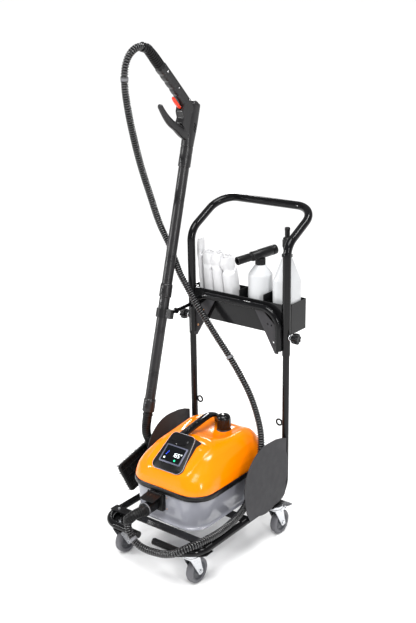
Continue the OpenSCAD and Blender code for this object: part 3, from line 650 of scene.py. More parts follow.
TOP_LEVELS = [
    (255, 151, 148, -8, -392, 74), (262, 151, 148, -8, -392, 74), (278, 149.5, 145.5, -9.5, -389, 74),
    (296, 146, 140, -13, -382, 73), (314, 140, 131, -19, -368, 70), (330, 133, 120, -27, -346, 65),
    (344, 127, 112, -36, -326, 62), (356, 118, 100, -47, -300, 57), (364, 108, 88, -60, -276, 52),
    (369, 96, 74, -74, -250, 46),
]


def smoothstep(a, b, x):
    t = max(0, min(1, (x - a) / (b - a)))
    return t * t * (3 - 2 * t)


def shell_shape(p):
    """Carves the well round the filler cap and raises the soft ridge round the console."""
    high = smoothstep(326, 350, p.z)
    well = exp(-(((p.x - 6) / 66) ** 4)) * exp(-(((p.y + 118) / 74) ** 4))
    p.z -= 16 * well * high
    ridge = SCREEN.inverted() @ p
    reach = hypot(max(0, abs(ridge.x) - 40), max(0, abs(ridge.y - 12) - 44))
    p.z += 2.6 * exp(-((reach - 44) / 7) ** 2) * smoothstep(280, 320, p.z)
    p.z -= 2.0 * exp(-((reach - 27) / 9) ** 2) * smoothstep(290, 330, p.z)
    return p


def make_top_shell():
    points = [p for z, *level in TOP_LEVELS for p in case_outline(*level, z, 12, 4)]
    for side in (-1, 1):
        points += disc_points(SCREEN, side * 46, 34, -17, 20)
        points += disc_points(SCREEN, side * 52, -36, -2.5, 20)
    shell = fused(made_object("top_cover", [hull_part(points)], "orange_shell", 60), 2.4, 14)
    for vert in shell.data.vertices:
        vert.co = row(shell_shape((vert.co - ORIGIN) / MM))
    modify(shell, "SMOOTH", iterations=4)
    settled(baked(shell, 60), "orange_shell", "top_shell")


def make_lower_shell():
    levels = [(BASE_Z, 137, 135, -13, -394, 66), (145, 137, 135, -13, -394, 66),
              (147.5, 133.5, 131.5, -16.5, -390, 66), (152, 132.6, 130.6, -17.5, -388.4, 66),
              (195, 140, 137.5, -13.5, -388, 70), (BELT_Z + 3, 148, 145, -10, -388, 74)]
    zs = [BASE_Z, 142.3, 144.4, 145.4, 146.2, 147.5, 149.5, 152, 160, 175, 195, 215, 230, BELT_Z + 3]
    trims = {BASE_Z: -1.2, 142.3: -0.3, 144.4: -0.2, 145.4: -1.2}
    rings = []
    for z in zs:
        a, b, rear, front, r = mix(levels, z)
        trim = trims.get(z, 0)
        rings.append(case_outline(a + trim, b + trim, rear + trim, front - trim, r, z))
    parts = [loft(rings)]
    piece("lower_cover", parts, "silver_shell", "lower_shell", angle=50)


def make_belt():
    rings = []
    profile = [(-0.5, -6), (0, -1.2), (1.6, 1.2), (4, 2.2), (8, 2.9), (12, 2.9), (16, 2.2), (18.4, 1.2),
               (20, -1.2), (20.5, -6)]
    for h, out in profile:
        rings.append(case_outline(150 + out, 148 + out, -8 + out, -391 - out, 75, BELT_Z + h))
    piece("belt", [(loft(rings), "belt_rubber")], "black_rubber", "belt_band", angle=50)


def disc_points(matrix, x, y, z, r, n=28):
    return [matrix @ Vector((x + a, y + b, z)) for a, b in ring_of(r, n)]


def make_console():
    points = []
    for side in (-1, 1):
        points += disc_points(SCREEN, side * 40.5, -35.5, -1.2, 20)
        points += disc_points(SCREEN, side * 25, 54, -1.2, 20)
        points += disc_points(SCREEN, side * 44, -34, -30, 21)
        points += disc_points(Matrix(), side * 42, -236, 338, 20)
        points += disc_points(Matrix(), side * 46, -236, 325, 22)
    wedge = bevelled(made_object("console_wedge", [hull_part(points)], "ledge_grey", 25), 1.6, 25)
    settled(wedge, "black_plastic", "console")
    outline = rounded([(-61, -56), (61, -56), (44, 74), (-44, 74)], [20, 20, 17, 17], 8)
    parts = [(slab(outline, SCREEN, -6, 1.0, 1.4), "panel_black"),
             (slab(oval(29, 16.5, 2, 40), SCREEN @ place(-1, 51, 0), 0.5, 3.4, 1.4), "gloss_black")]
    piece("console_panel", parts, "black_plastic", angle=40)
    # A thin pale bead along the panel's rim: a painted highlight where its edge catches the light.
    line = sweep_closed([SCREEN @ Vector((p.x, p.y, 0.2)) for p in grown(outline, 0.2)], 0.55)
    piece("console_edge_painted_highlight", [(line, "edge_light")], "black_plastic", angle=60)


def sweep_closed(loop, r, n=8):
    """A thin round bead along a closed loop."""
    m = len(loop)
    verts, faces = [], []
    for i, p in enumerate(loop):
        ahead = (loop[(i + 1) % m] - loop[i - 1]).normalized()
        side = ahead.cross(SCREEN.to_3x3() @ Vector((0, 0, 1))).normalized()
        up = side.cross(ahead)
        verts += [p + a * side + b * up for a, b in ring_of(r, n)]
    for i in range(m):
        for k in range(n):
            j = (i + 1) % m
            faces.append((i * n + k, i * n + (k + 1) % n, j * n + (k + 1) % n, j * n + k))
    return verts, faces


def digit(matrix, segments, w=7, h=12, t=1.5):
    """A seven-segment figure of small bars."""
    spots = {"a": (0, h, 0), "b": (w / 2, 0.75 * h, 90), "c": (w / 2, 0.25 * h, 90), "d": (0, 0, 0),
             "e": (-w / 2, 0.25 * h, 90), "f": (-w / 2, 0.75 * h, 90), "g": (0, 0.5 * h, 0)}
    out = []
    for name in segments:
        x, y, spin = spots[name]
        span = (h / 2 if spin else w) - 0.9
        out.append((block(matrix @ place(x, y, 0) @ turn(spin, "Z"), span, t, 0.35, 0.6, 0.1), "digits"))
    return out


def make_display():
    parts = [(slab(rectangle(83, 61, 3), SCREEN, -3.5, 2.2, 0.8), "bezel_grey"),
             slab(rectangle(72, 52, 1.5, 3), SCREEN, 1.5, 2.6, 0.2)]
    face = SCREEN @ place(0, 0, 2.6)
    for x, segments in ((1, "bc"), (11, "afgcde"), (21, "afgcd")):
        parts += digit(face @ place(x, -6, 0), segments)
    degree = [(1.2, 0), (1.3, 0.4), (2.1, 0.4), (2.2, 0)]
    parts.append((lathe(degree, face @ place(29.5, 5.5, 0), 20), "digits"))
    for k in range(3):
        spot = face @ place(-25 + 2.2 * k, -4 + 5 * k, 0)
        parts.append((block(spot, 3.2, 2.2, 0.35, 0.5, 0.1), "blue_mark"))
    dot = [(0.05, 0.45), (2.6, 0.4), (3.3, 0.1), (3.3, -0.2), (0.05, -0.2)]
    parts.append((lathe(dot, face @ place(-26, -16, 0), 24), "white_dot"))
    parts.append((lathe(dot, face @ place(15, -18, 0), 24), "green_dot"))
    piece("display_screen", parts, "screen_glass", "display", angle=40)


def make_carry_handle():
    path = spline([(-14, -302, 374), (-20, -264, 383), (-23, -226, 388), (-23, -190, 393), (-23, -156, 398),
                   (-23, -124, 399), (-23, -98, 390), (-23, -80, 372), (-23, -68, 340)], 4)

    def section(i, t):
        wide = 14 + 9 * (1 - smoothstep(0, 0.22, t)) + 5 * smoothstep(0.8, 1, t)
        deep = 7.2 - 1.2 * sin(pi * t) + 3 * smoothstep(0.85, 1, t)
        out = []
        for a, b in oval(wide, deep, 3.4, 40):
            channel = 1.5 * exp(-((a / (0.55 * wide)) ** 6)) * smoothstep(0.04, 0.2, t)
            out.append((a, b - channel * (1 - smoothstep(0.8, 0.95, t)) if b < -0.6 * deep else b))
        return out

    piece("handle_bow", [sweep(path, section, (1, 0, 0))], "gloss_black",
          "carry_handle", angle=50)


def make_cap():
    def ribs(r, h, angle):
        if not 367 < h < 390:
            return r
        return r + 1.1 * max(0, cos(16 * angle)) ** 0.5
    profile = [(19.6, 373), (19.6, 359), (21, 358.2), (22.6, 358.6), (22.8, 363), (22.8, 366.5),
               (22.2, 367.5), (22.3, 378), (22.2, 389), (22.7, 391), (22.3, 395), (20.6, 399.5),
               (17.4, 403.2), (12.5, 405.7), (6.5, 406.8), (0.05, 407)]
    cap = lathe(profile, place(*CAP, 0), 128, ribs)
    piece("cap_dome", [(cap, "gloss_black")], "gloss_black", "filler_cap", body="cap", angle=50)
    neck = [(14, 366), (14, 300), (19, 300), (19, 341), (27, 342.5), (28, 344.5), (26.5, 347), (23.5, 350.5),
            (24, 352), (23.8, 355), (22.6, 357), (18.9, 357.4), (18.9, 365.6), (18.4, 366)]
    piece("cap_neck", [(lathe(neck, place(*CAP, 0), 64), "neck_plastic")], "neck_plastic",
          "filler_neck", angle=50)


def make_machine_screws():
    parts = []
    for x in (-36, 36):
        for z in (189, 227):
            head = place(SOCKET[0] + x, -388.9, z) @ turn(90, "X")
            parts += screw(head, 2.4, "copper_screw", "silver_shell")
    piece("socket_screws", parts, "copper_screw", "machine_screws")


make_top_shell()
make_lower_shell()
make_belt()
make_console()
make_display()
make_carry_handle()
make_cap()
make_machine_screws()


# --- wand


def grooves(s, count=5, pitch=4.5, depth=0.8):
    out = []
    for k in range(count):
        h = s + pitch * k
        out += [(WAND_R, h), (WAND_R - depth, h + 0.6), (WAND_R - depth, h + 1.6), (WAND_R, h + 2.2)]
    return out


def collar(s, tall=44):
    return [(WAND_R - 0.5, s + 0.2), (COLLAR_R - 1.2, s + 0.4), (COLLAR_R, s + 1.6), (COLLAR_R, s + 9),
            (COLLAR_R - 0.5, s + 9.6), (COLLAR_R - 0.5, s + 10.8), (COLLAR_R, s + 11.4),
            (COLLAR_R - 0.2, s + tall - 8), (COLLAR_R - 0.8, s + tall - 3), (WAND_R + 0.8, s + tall - 0.6),
            (WAND_R, s + tall)]


def button_front(s, out):
    """A matrix on the front of the wand at s, with X across it, Y up it and Z outwards."""
    return wand_frame(s) @ place(0, -out, 0) @ turn(90, "X")


def button_ring(s0):
    """The dark ring round the release button of the collar at s0."""
    ring = slab(oval(7.6, 12, 2.4, 36), button_front(s0 + BUTTON_UP, COLLAR_R - 0.9), -1, 1.1, 0.4)
    return ring, "button_black"


def tube_details(s0):
    """The button's ring, the slot in the tube below, and the small raised marks above the collar."""
    parts = [button_ring(s0)]
    if s0:
        slot = slab(oval(5.5, 13, 2.6, 32), button_front(s0 - 16, WAND_R - 1.1), -1, 1.3, 0.4)
        parts.append((slot, "button_black"))
    for k in range(3):
        mark = wand_frame(s0 + 62 + 9 * k) @ turn(28, "Z") @ place(0, -WAND_R + 0.5, 0) @ turn(90, "X")
        parts.append((block(mark, 9, 2.6, 1.2, 1, 0.3), "button_black"))
    return parts


def make_wand():
    for name, s0, s1 in (("lower", 0, LOWER_LEN), ("upper", LOWER_LEN, GUN_S)):
        profile = [(0.1, s0 + 0.2)] + collar(s0)
        profile += grooves(s0 + 120) + grooves(s1 - 118) + [(WAND_R, s1 - 0.3), (0.1, s1 - 0.3)]
        parts = [(lathe(profile, wand_frame(0), 48), "wand_plastic")]
        piece(f"wand_{name}", parts + tube_details(s0), "wand_plastic", f"wand_tube_{name}", angle=30)
    for name, s0 in (("lower", 0), ("middle", LOWER_LEN), ("upper", GUN_S)):
        s = s0 + BUTTON_UP
        parts = [(slab(oval(5, 9, 2.4, 32), button_front(s, COLLAR_R - 3), 0, 5.3, 1), "button_black")]
        for k in range(-2, 3):
            parts.append((block(button_front(s + 2.6 * k, COLLAR_R + 2), 6 - abs(k), 0.9, 0.6, 0.3, 0.15),
                          "button_black"))
        piece(f"button_pad_{name}", parts, "button_black", f"release_button_{name}", body=f"button_{name}")


def make_elbow():
    pin = BRUSH @ Vector((20, 0, 22))
    path = spline([wand_at(0), wand_at(-28), (WAND_X + 1, -202, 330), (WAND_X + 3, -204, 308),
                   (WAND_X + 6, -198, 284), pin], 1)

    def section(i, t):
        r = 15.6 - 1.4 * smoothstep(0.3, 0.8, t) - 5.5 * smoothstep(0.85, 1, t)
        in_ribs = 0.28 < t < 0.74
        return ring_of(r - (1.5 if in_ribs and i % 6 > 3 else 0), 32)

    parts = [sweep(path, section)]
    parts.append(lathe(mirrored([(4.1, -12), (8, -12), (9, -11)]),
                       BRUSH @ place(20, 0, 22) @ turn(90, "X"), 32))
    ring = [(15.4, 6), (17.2, 6.6), (17.6, 9), (17.2, 11.4), (15.4, 12)]
    parts.append(lathe(ring, wand_frame(-20), 40))
    piece("wand_elbow", parts, "black_plastic", "elbow", angle=40)


make_wand()
make_elbow()


# --- brush


def make_brush():
    long, wide = 280, 100
    plan = rectangle(long, wide, 12, 5)
    lying = BRUSH @ Matrix(((0, 0, 1, 0), (1, 0, 0, 0), (0, 1, 0, 0), (0, 0, 0, 1)))
    parts = [slab(plan, lying, 0, 5, 1.2)]
    rim = grown(plan, -1.5)
    inner = grown(plan, -5.5)
    wall = [[lying @ Vector((p.x, p.y, h)) for p in line]
            for line, h in ((rim, 4), (rim, 9.4), (grown(plan, -2.1), 10), (grown(plan, -4.9), 10),
                            (inner, 9.4), (inner, 4))]
    parts.append(loft(wall, cap=False))
    for v in (-1, 0, 1):
        parts.append(block(lying @ place(0, v * 25, 4.5), long - 12, 3, 4.6, 0.8, 0.5))
    for k in range(-6, 7):
        if k:
            parts.append(block(lying @ place(20 * k, 0, 4.5), 3, wide - 12, 4.2, 0.8, 0.5))
    for side in (-1, 1):
        ear = mirrored([(0.05, -3), (8, -3), (9, -2)])
        parts.append(lathe(ear, BRUSH @ place(20, side * 15.5, 22) @ turn(90, "X"), 32))
        parts.append(block(BRUSH @ place(13.5, side * 15.5, 6), 15, 6, 20, 1.5, 0.6))
    parts.append((lathe(mirrored([(0.05, -18), (4, -18)]),
                        BRUSH @ place(20, 0, 22) @ turn(90, "X"), 20), "zinc"))
    draw = random.Random(7)
    for i in range(36):
        for j in range(12):
            y, z = -132 + 264 * i / 35, -43 + 86 * j / 11
            edge = max(0, abs(z) - 34) / 10
            for _ in range(3):
                root = Vector((1, y + draw.uniform(-1.4, 1.4), z + draw.uniform(-1.4, 1.4)))
                lean = Vector((0, draw.uniform(-2, 2), draw.uniform(-2, 2) + copysign(5 * edge, z)))
                tip = root + lean + Vector((-20.5 - draw.uniform(0, 1.4), 0, 0))
                tip.y = max(-136, min(136, tip.y))
                tip.z = max(-46, min(46, tip.z))
                matrix = between(BRUSH @ root, BRUSH @ tip)
                height = (tip - root).length
                parts.append((lathe([(0.9, 0), (0.7, 0.6 * height), (0.25, height)], matrix, 5), "bristle"))
    piece("floor_brush", parts, "black_plastic", "brush_head", body="brush", angle=40)


make_brush()


# --- steam gun

GRIP_LINE = [(62, 1338), (36, 1366), (-7, 1413), (-74, 1481)]
HOOK_LINE = [(40, 1262), (20, 1272), (-8, 1290), (-40, 1313), (-67, 1343), (-85, 1369)]
GUN_SCREWS = [(-58, 1465), (-7, 1413), (44, 1372), (88, 1330), (52, 1232), (76, 1352)]
GUN_PLANE = Matrix(((0, 0, 1, WAND_X), (1, 0, 0, 0), (0, 1, 0, 0), (0, 0, 0, 1)))


def in_plane(points):
    return [Vector((WAND_X, y, z)) for y, z in points]


def make_gun():
    def barrel(i, t):
        s = BARREL_FROM + BARREL_LEN * t
        tall = 20.8 + 2.4 * smoothstep(95, 150, s)
        wide = GUN_HALF + 1.6 + 0.6 * smoothstep(80, 130, s)
        close = 1 - 0.28 * smoothstep(0.95, 1, t) ** 2
        return oval(wide * close, tall * close, 2.3 + 0.7 * smoothstep(60, 120, s), 36)

    line = [wand_at(GUN_S + BARREL_FROM + BARREL_LEN * k / 36) for k in range(37)]
    parts = [sweep(line, barrel, (1, 0, 0))]
    head = Matrix.Translation(wand_at(GUN_S + 193) + Vector((0, -2, 0))) @ turn(90, "Y")
    cheek = mirrored([(0.1, -16), (13, -16), (18, -14.5), (21, -10), (21.8, -4)])
    parts.append(lathe(cheek, head, 48))
    web = [(56, 1356), (20, 1362), (12, 1338), (17, 1318), (8, 1301), (34, 1268), (62, 1300)]
    parts.append(slab(rounded(web[::-1], 5, 5), GUN_PLANE, -15, 15, 4))

    grip_path = spline(in_plane(GRIP_LINE), 2)

    def grip(i, t):
        tall = 20.5 - 2.5 * smoothstep(0.1, 0.6, t)
        finger = 2.1 * max(0, sin(2 * pi * (t - 0.38) / 0.155)) if 0.38 < t < 0.93 else 0
        out = []
        for a, b in oval(GUN_HALF, tall, 2.7, 36):
            out.append((a, b - copysign(finger, b) if b * grip_under > 0.25 * tall else b))
        return out

    grip_under = 1 if along(grip_path, Vector((1, 0, 0)))[10][2].z < 0 else -1
    parts.append(sweep(grip_path, grip, (1, 0, 0)))

    def hook(i, t):
        tall = 19 - 6 * smoothstep(0, 0.4, t) - 5 * smoothstep(0.5, 1, t)
        wide = 14 - 5.5 * smoothstep(0, 0.7, t)
        close = sqrt(max(0.04, 1 - max(0, (t - 0.94) / 0.06) ** 2))
        return oval(wide * close, tall * close, 2.3, 28)

    parts.append(sweep(spline(in_plane(HOOK_LINE), 2), hook, (1, 0, 0)))
    gun = fused(made_object("steam_gun", parts, "wand_plastic"), 1.3, 4)
    cut(gun, gun_cutters())
    settled(gun, "wand_plastic", "gun_shell_left", "gun_shell_right")

    neck = [(0.1, GUN_S + 0.3)] + collar(GUN_S, 46)
    neck[-2:] = [(20.3, GUN_S + 45), (20.3, GUN_S + 63.4), (19.2, GUN_S + 64), (19.2, GUN_S + 66.4),
                 (0.1, GUN_S + 66.4)]
    parts = [lathe(neck, wand_frame(0), 48), button_ring(GUN_S)]
    piece("gun_collar", parts, "wand_plastic")


def cut(obj, parts):
    cutter = made_object("cutter", parts, "button_black")
    modify(obj, "BOOLEAN", operation="DIFFERENCE", object=cutter)
    baked(obj, 50)
    bpy.data.objects.remove(cutter)


def gun_cutters():
    """Three slanted vents in each side, the trigger's slot and the recess in the head."""
    out = []
    for side in (-1, 1):
        for k in range(3):
            spot = wand_at(GUN_S + 118 + 9 * k) + Vector((side * (GUN_HALF + 0.5), 3, 0))
            matrix = Matrix.Translation(spot) @ turn(side * 90, "Y") @ turn(90 + 35 * side, "Z")
            out.append(block(matrix @ place(0, 0, -3.4), 3.8, 17, 8, 1.8, 0.3))
    slot = between((WAND_X, 20, 1344), (WAND_X, -24, 1390))
    out.append(block(slot, 12.6, 11, 52, 3, 0.6))
    head = wand_frame(GUN_S + 207)
    out.append(block(head @ place(0, 2, 0), 22, 22, 12, 6, 0.8))
    return out


def make_gun_parts():
    parts = []
    for y, z in GUN_SCREWS:
        for side in (1, -1):
            face = place(WAND_X + side * (GUN_HALF + 0.1), y, z) @ turn(side * 90, "Y")
            parts += screw(face, 2.6, "bright_screw")
    for dx in (-7, 7):
        parts += screw(wand_frame(GUN_S + 208) @ place(dx, 2, 0), 2.2, "bright_screw")
    piece("gun_screw_heads", parts, "bright_screw", "gun_screws")

    blade = spline(in_plane([(17, 1347), (4, 1358), (-9, 1371), (-21, 1386)]), 1)

    def section(i, t):
        close = sqrt(max(0.05, 1 - abs(2 * t - 1) ** 5))
        return oval(5.6 * close, 4.8 * close, 2.8, 24)

    piece("trigger_blade", [(sweep(blade, section, (1, 0, 0)), "trigger_red"),
                            (lathe(mirrored([(0.1, -11), (2, -11)]),
                                   place(WAND_X, 20, 1352) @ turn(90, "Y"), 16), "bright_screw")],
          "trigger_red", "gun_trigger", body="trigger", angle=50)

    sleeve = spline(in_plane([(-74.3, 1481.3), (-90, 1497.2), (-106, 1513.4), (-121, 1527.5),
                              (-135.2, 1538.5), HOSE_ROUTE[-1][1:], (-156, 1543.8)]), 1)
    cuff_parts = [(ribbed(sleeve, lambda t: 17.4 - 2.6 * smoothstep(0.2, 1, t), 8, 2.6, 32), "black_rubber")]
    band = between(sleeve[0], sleeve[6])
    cuff_parts.append((lathe([(14, 0.5), (16.6, 0.5), (17.2, 1.4), (17.2, 7.6), (16.6, 8.6), (14, 8.6)],
                             band, 40), "wand_plastic"))
    piece("cuff_sleeve", cuff_parts, "black_rubber", "gun_cuff", angle=40)


make_gun()
make_gun_parts()


# --- casters


def make_wheels():
    for key, (x, y) in CASTERS.items():
        axle = place(x, y + TRAIL, AXLE_Z) @ turn(90, "Y")
        tread = mirrored([(29, -10.5), (31.5, -11.6), (35, -12), (37.6, -11), (39.3, -8.6), (40, -5)])
        rim = mirrored([(4.1, -12), (10.5, -12), (11.5, -11), (12.5, -8), (24, -7), (26.5, -9),
                        (28.2, -10.8), (29.4, -10.8)])
        parts = [(lathe(tread + [tread[0]], axle, 64), "tyre"), (lathe(rim + [rim[0]], axle, 56), "hub")]
        for face in (-1, 1):
            for k in range(6):
                spoke = axle @ turn(60 * k, "Z") @ place(18, 0, 7 * face - 1)
                parts.append((block(spoke, 12.5, 2.6, 2, 0.8, 0.4), "hub"))
        piece(f"wheel_{key}_tyre", parts, "caster_tyre", f"caster_wheel_{key}", body=f"wheel_{key}", angle=40)


def make_axle_bolts():
    nut = rounded(ring_of(6.5, 6), 0.8, 2)
    for key, (x, y) in CASTERS.items():
        parts = []
        for side in (-1, 1):
            end = place(x + side * 16, y + TRAIL, AXLE_Z) @ turn(side * 90, "Y")
            parts.append(slab(nut, end, 0, 4, 0.8))
            parts.append(lathe([(0.1, 4), (3, 4), (3.6, 4.6), (3, 6), (0.1, 6.2)], end, 20))
        race = [(20.5, 99), (24.6, 99.4), (25, 101), (24.6, 102.8), (20, 103.4)]
        parts.append(lathe(race, place(x, y, 0), 48))
        piece(f"caster_bolts_{key}", parts, "zinc", body=f"fork_{key}")


make_wheels()
make_axle_bolts()


# --- frame fittings


def make_knobs():
    for name, side in (("left", -1), ("right", 1)):
        matrix = place(side * 186, 0, 673) @ turn(side * 90, "Y")

        def lobes(r, h, angle):
            return r * (0.86 + 0.14 * cos(7 * angle)) if 27.5 < h < 46.6 else r
        grip = [(0.1, 27), (16, 27), (17.4, 28.4), (18, 32), (18, 41), (17, 44.5), (14, 46.5), (10, 46.9),
                (8, 46.2), (0.1, 46)]
        hub = [(0.1, 20), (7.4, 20), (9, 22), (10, 27), (0.1, 27)]
        washer = [(4.1, 13.4), (9.5, 13.4), (10, 14), (10, 16.4), (9.5, 17), (4.1, 17)]
        stud = [(0.1, -8), (4, -8), (4, 28), (0.1, 28)]
        parts = [lathe(grip, matrix, 98, lobes), lathe(hub, matrix, 40),
                 (lathe(washer, matrix, 40), "zinc"), (lathe(stud, matrix, 24), "zinc")]
        piece(f"knob_grip_{name}", parts, "knob_plastic", f"clamp_knob_{name}", body=f"knob_{name}", angle=40)


def make_frame_details():
    """Screws in the left gusset, bolts in the bars and caster plates, and the rails' end caps."""
    parts = []
    for x, z in ((-128, 708), (-142, 706), (-150, 652)):
        parts += screw(place(x, -18.2, z) @ turn(90, "X"), 4.2, "copper_screw")
    piece("gusset_screws", parts, "copper_screw", "frame_screws")
    parts = []
    dome = [(0.1, 0), (5, 0), (5, 1), (4.4, 2.6), (2.5, 3.4), (0.1, 3.5)]
    plate_bolt = [(0.1, 0), (9, 0), (9, 1.2), (5.5, 1.2), (5.5, 6.4), (4.8, 7), (0.1, 7.4)]
    for side in (-1, 1):
        for y in (-413, -228, -84):
            parts.append(lathe(dome, place(side * 168, y, 141.4), 24))
        parts.append(lathe(plate_bolt, place(side * 144, -439, 115.6), 6))
    piece("frame_bolts", parts, "zinc")
    cap = [(0.1, 0), (10.9, 0), (10.9, 2.4), (10, 4), (0.1, 4.4)]
    parts = [lathe(cap, place(side * 33, -476, 126.5) @ turn(-side * 90, "Y"), 40) for side in (-1, 1)]
    piece("rail_end_caps", parts, "black_plastic", "tube_end_plugs")


make_knobs()
make_frame_details()


# --- tray contents


def make_bottles():
    x, y = 55, 47
    foot = place(x, y, TRAY_FLOOR)
    profile = [(0.1, 2), (30, 1.6), (34, 0.4), (37.4, 0.6), (38.8, 3), (39, 8), (39, 162), (38, 167),
               (35.5, 171), (18.5, 194), (15.5, 197.5), (14.4, 200), (14, 203), (14, 208), (0.1, 208)]
    parts = [(lathe(profile, foot, 72), "bottle_plastic")]

    def knurl(r, h, angle):
        return r + 0.5 * cos(30 * angle) if 198 < h < 216 else r
    collar_line = [(0.1, 196), (16, 196), (16.3, 197.5), (16, 199), (16, 215), (15.2, 218), (0.1, 218.5)]
    parts.append((lathe(collar_line, foot, 120, knurl), "black_plastic"))
    rear, middle, front = (x + 19, y + 59, 916), (x - 11, y - 34, 906), (x - 28, y - 86, 900.4)
    length = (Vector(middle) - Vector(rear)).length
    barrel = [(0.1, 0), (12, 0), (15, 1.6), (16, 5), (16, 18), (15.3, 19), (15.3, 21), (16, 22),
              (16, length - 4), (15.2, length - 1.2), (14, length), (0.1, length)]
    nose_len = (Vector(front) - Vector(middle)).length
    nose = [(0.1, -2), (13, -2), (13, 6), (12.4, 7), (13, 8), (13.2, nose_len - 8), (13.5, nose_len - 7),
            (13.5, nose_len - 1), (12.6, nose_len), (9.4, nose_len), (8.4, nose_len - 1), (8, nose_len - 12),
            (0.1, nose_len - 12)]
    parts.append((lathe(barrel, between(rear, middle), 48), "black_plastic"))
    parts.append((lathe(nose, between(middle, front), 48), "black_plastic"))
    piece("spray_bottle_set", parts, "bottle_plastic", "spray_bottle", body="spray_bottle")

    foot = place(153, 51, TRAY_FLOOR)
    levels = [(29, 2.4), (34, 0.6), (36, 1.2), (37, 5), (37, 158), (36, 164), (33.6, 171), (18, 227),
              (15.5, 232), (14.6, 237)]
    rings = [[foot @ Vector((a, b, h)) for a, b in oval(w, w, 4.4 - 2.4 * smoothstep(165, 230, h), 56)]
             for w, h in levels]
    parts = [(loft(rings), "bottle_plastic")]
    pump = [(0.1, 236), (17, 236), (17.2, 237.5), (16.6, 243), (14, 245), (12, 247), (11.6, 254), (13, 262),
            (14.5, 268), (0.1, 268)]
    parts.append((lathe(pump, foot, 48), "black_plastic"))
    parts.append((slab(rounded(ring_of(17, 6), 2, 3), foot, 268, 291, 1.2), "black_plastic"))
    spout = [(0.1, 290), (13, 290), (13.4, 294), (11, 297), (8, 298.5), (7.6, 301), (8, 303), (8, 318),
             (8.6, 319), (8.6, 326), (7.6, 328), (4.6, 328), (4.2, 320), (0.1, 320)]
    parts.append((lathe(spout, foot, 40), "black_plastic"))
    piece("dosing_bottle_set", parts, "bottle_plastic", "dosing_bottle", body="dosing_bottle")


def roll_plan(turns, half_x, half_y, gap):
    """The plan of a cloth folded round and round into a flat bundle, from its middle outwards."""
    points = []
    steps = 26 * turns
    for k in range(steps + 1):
        angle = 2 * pi * turns * k / steps
        back = gap * turns * (1 - k / steps)
        a, b = max(1.5, half_x - back), half_y - back
        c, d = cos(angle), sin(angle)
        points.append((a * copysign(abs(c) ** 0.62, c), b * copysign(abs(d) ** 0.62, d), 0))
    return points


def make_cloth(name, index, x, y, tall, turns, half_x, half_y, gap, lean):
    """A sheet that stands folded in the tray; its path length and its height are its cut size."""
    plan = spline(roll_plan(turns, half_x, half_y, gap), 4.5)
    rows = 36
    n = len(plan)
    verts = []
    for j in range(rows + 1):
        t = j / rows
        slack = smoothstep(0.35, 1, t)
        for i, p in enumerate(plan):
            u = i / (n - 1)
            seed = Vector((p.x / 16, p.y / 16, index * 5.3))
            crease = noise.noise(Vector((p.x / 11 + index, p.y / 11, 1.1 * t)))
            fold_in = 1 - (0.05 + 0.26 * u) * smoothstep(0.84, 1, t) ** 2 - 0.05 * smoothstep(0, 0.3, 1 - t)
            layer = 5 * (1 - u) + 4 * noise.noise(Vector((7 * u, index, 0.3)))
            verts.append(Vector((
                x + p.x * fold_in + 3.2 * crease * slack + lean[0] * t ** 1.3,
                y + p.y * (fold_in + 0.03) + 2.6 * crease * slack + lean[1] * t,
                TRAY_FLOOR + 0.6 + tall * t + (layer - 3 + 3 * noise.noise(seed)) * slack ** 2,
            )))
    faces = [(j * n + i, j * n + i + 1, (j + 1) * n + i + 1, (j + 1) * n + i)
             for j in range(rows) for i in range(n - 1)]
    cloth = made_object(name, [(verts, faces)], "white_cloth", 180)
    relax(cloth, rows, n)
    modify(cloth, "SOLIDIFY", thickness=2.2 * MM, offset=0)
    modify(cloth, "SUBSURF", levels=1, render_levels=1)
    settled(baked(cloth, 80), "white_cloth", *(["cloths"] if index == 0 else []))


def relax(cloth, rows, n):
    """Lets the free upper part of the cloth sag and wrinkle under gravity."""
    group = cloth.vertex_groups.new(name="held")
    for j in range(rows + 1):
        hold = 1 - 0.9 * smoothstep(0.35, 0.95, j / rows)
        group.add(list(range(j * n, (j + 1) * n)), hold, "REPLACE")
    sim = modify(cloth, "CLOTH")
    measures = {"pin_stiffness": 1.2, "quality": 6, "mass": 0.3, "tension_stiffness": 30,
                "compression_stiffness": 30, "shear_stiffness": 10, "bending_stiffness": 2}
    sim.settings.vertex_group_mass = "held"
    for key, value in measures.items():
        setattr(sim.settings, key, value)
    sim.collision_settings.use_collision = False
    sim.point_cache.frame_start = 1
    sim.point_cache.frame_end = 14
    before = [v.co.copy() for v in cloth.data.vertices]
    for frame_number in range(1, 15):
        scene.frame_set(frame_number)
    baked(cloth)
    cap = 7 * MM
    for vert, start in zip(cloth.data.vertices, before):
        moved = vert.co - start
        if moved.length > cap:
            vert.co = start + moved * (cap / moved.length)
    scene.frame_set(1)


def make_cloths():
    specs = [
        (-170, 52, 252, 2, 5.5, 25, 2.2, (-14, -2)),
        (-134, 49, 212, 4, 20, 29, 4.2, (-20, 4)),
        (-92, 49, 214, 4, 21, 30, 4.2, (-26, 4)),
        (-48, 49, 208, 4, 22, 30, 4.2, (-30, 4)),
    ]
    for i, spec in enumerate(specs):
        make_cloth(f"cloth_{i + 1}", i, *spec)


make_bottles()
make_cloths()


# --- materials of the CAD pieces

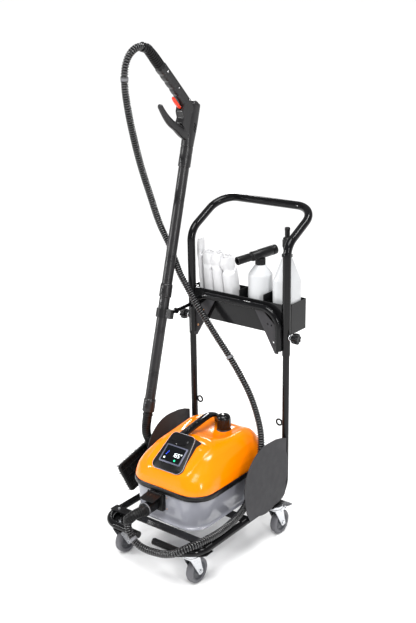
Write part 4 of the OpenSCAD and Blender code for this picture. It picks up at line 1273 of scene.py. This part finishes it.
CAD_LOOKS = {
    "black_gloss": ["side_tube_left", "side_tube_right", "handle_tube", "tool_arch", "tray", "cross_bars",
                    "caster_plates", "clip_rod"],
    "plate_grey": ["side_plate_left", "side_plate_right", "gussets"],
    "black_plastic": ["wand_clip", "mains_inlet"],
    "zinc": [f"caster_fork_{key}" for key in CASTERS],
    "pedal_grey": ["brake_pedal_left", "brake_pedal_right"],
    "seal_rubber": ["cap_seal"],
    "boiler_steel": ["boiler"],
    "pump_plastic": ["water_pump"],
    "valve_brass": ["steam_valve"],
    "circuit_board": ["control_board"],
}


def dress_cad():
    for material, names in CAD_LOOKS.items():
        for name in names:
            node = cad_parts[name]
            node.data.materials.clear()
            node.data.materials.append(MATS[material])


dress_cad()


# --- floor and light


def make_floor():
    mesh = bpy.data.meshes.new("floor")
    reach = 400
    mesh.from_pydata([(-reach, -reach, 0), (reach, -reach, 0), (reach, reach, 0), (-reach, reach, 0)],
                     [], [(0, 1, 2, 3)])
    mesh.materials.append(surface("floor_pale", (0.86, 0.86, 0.86), 0.7, grain=60, depth=0.1, shade=0.01))
    added("floor", mesh)


def lamp(name, kind, power, spot, aim):
    """A light at spot that shines along aim."""
    data = bpy.data.lights.new(name, kind)
    data.energy = power
    turned = aim.to_track_quat("-Z", "Y").to_matrix().to_4x4()
    added(name, data).matrix_world = Matrix.Translation(spot) @ turned
    return data


def make_light():
    world = bpy.data.worlds.new("studio")
    world.use_nodes = True
    backdrop = world.node_tree.nodes["Background"]
    backdrop.inputs["Color"].default_value = (1, 1, 1, 1)
    backdrop.inputs["Strength"].default_value = 0.34
    scene.world = world
    lamp("sun", "SUN", 3.3, Vector(), Vector((-0.12, 0.45, -1))).angle = radians(36)
    for name, spot, target_z, size, power in (
        ("key", (-2.4, -2.4, 1.5), 0.6, (0.16, 1.3), 50), ("side", (2.6, -1.4, 1.7), 0.5, (0.14, 1.2), 34),
        ("top", (0.9, 0.9, 3.0), 0.4, (1.2, 0.2), 36), ("rim", (-1.6, 2.0, 2.0), 0.8, (0.2, 1.3), 24),
    ):
        data = lamp(name, "AREA", power, Vector(spot), Vector((0, 0, target_z)) - Vector(spot))
        data.shape = "RECTANGLE"
        data.size, data.size_y = size
    scene.view_settings.view_transform = "Standard"


make_floor()
make_light()
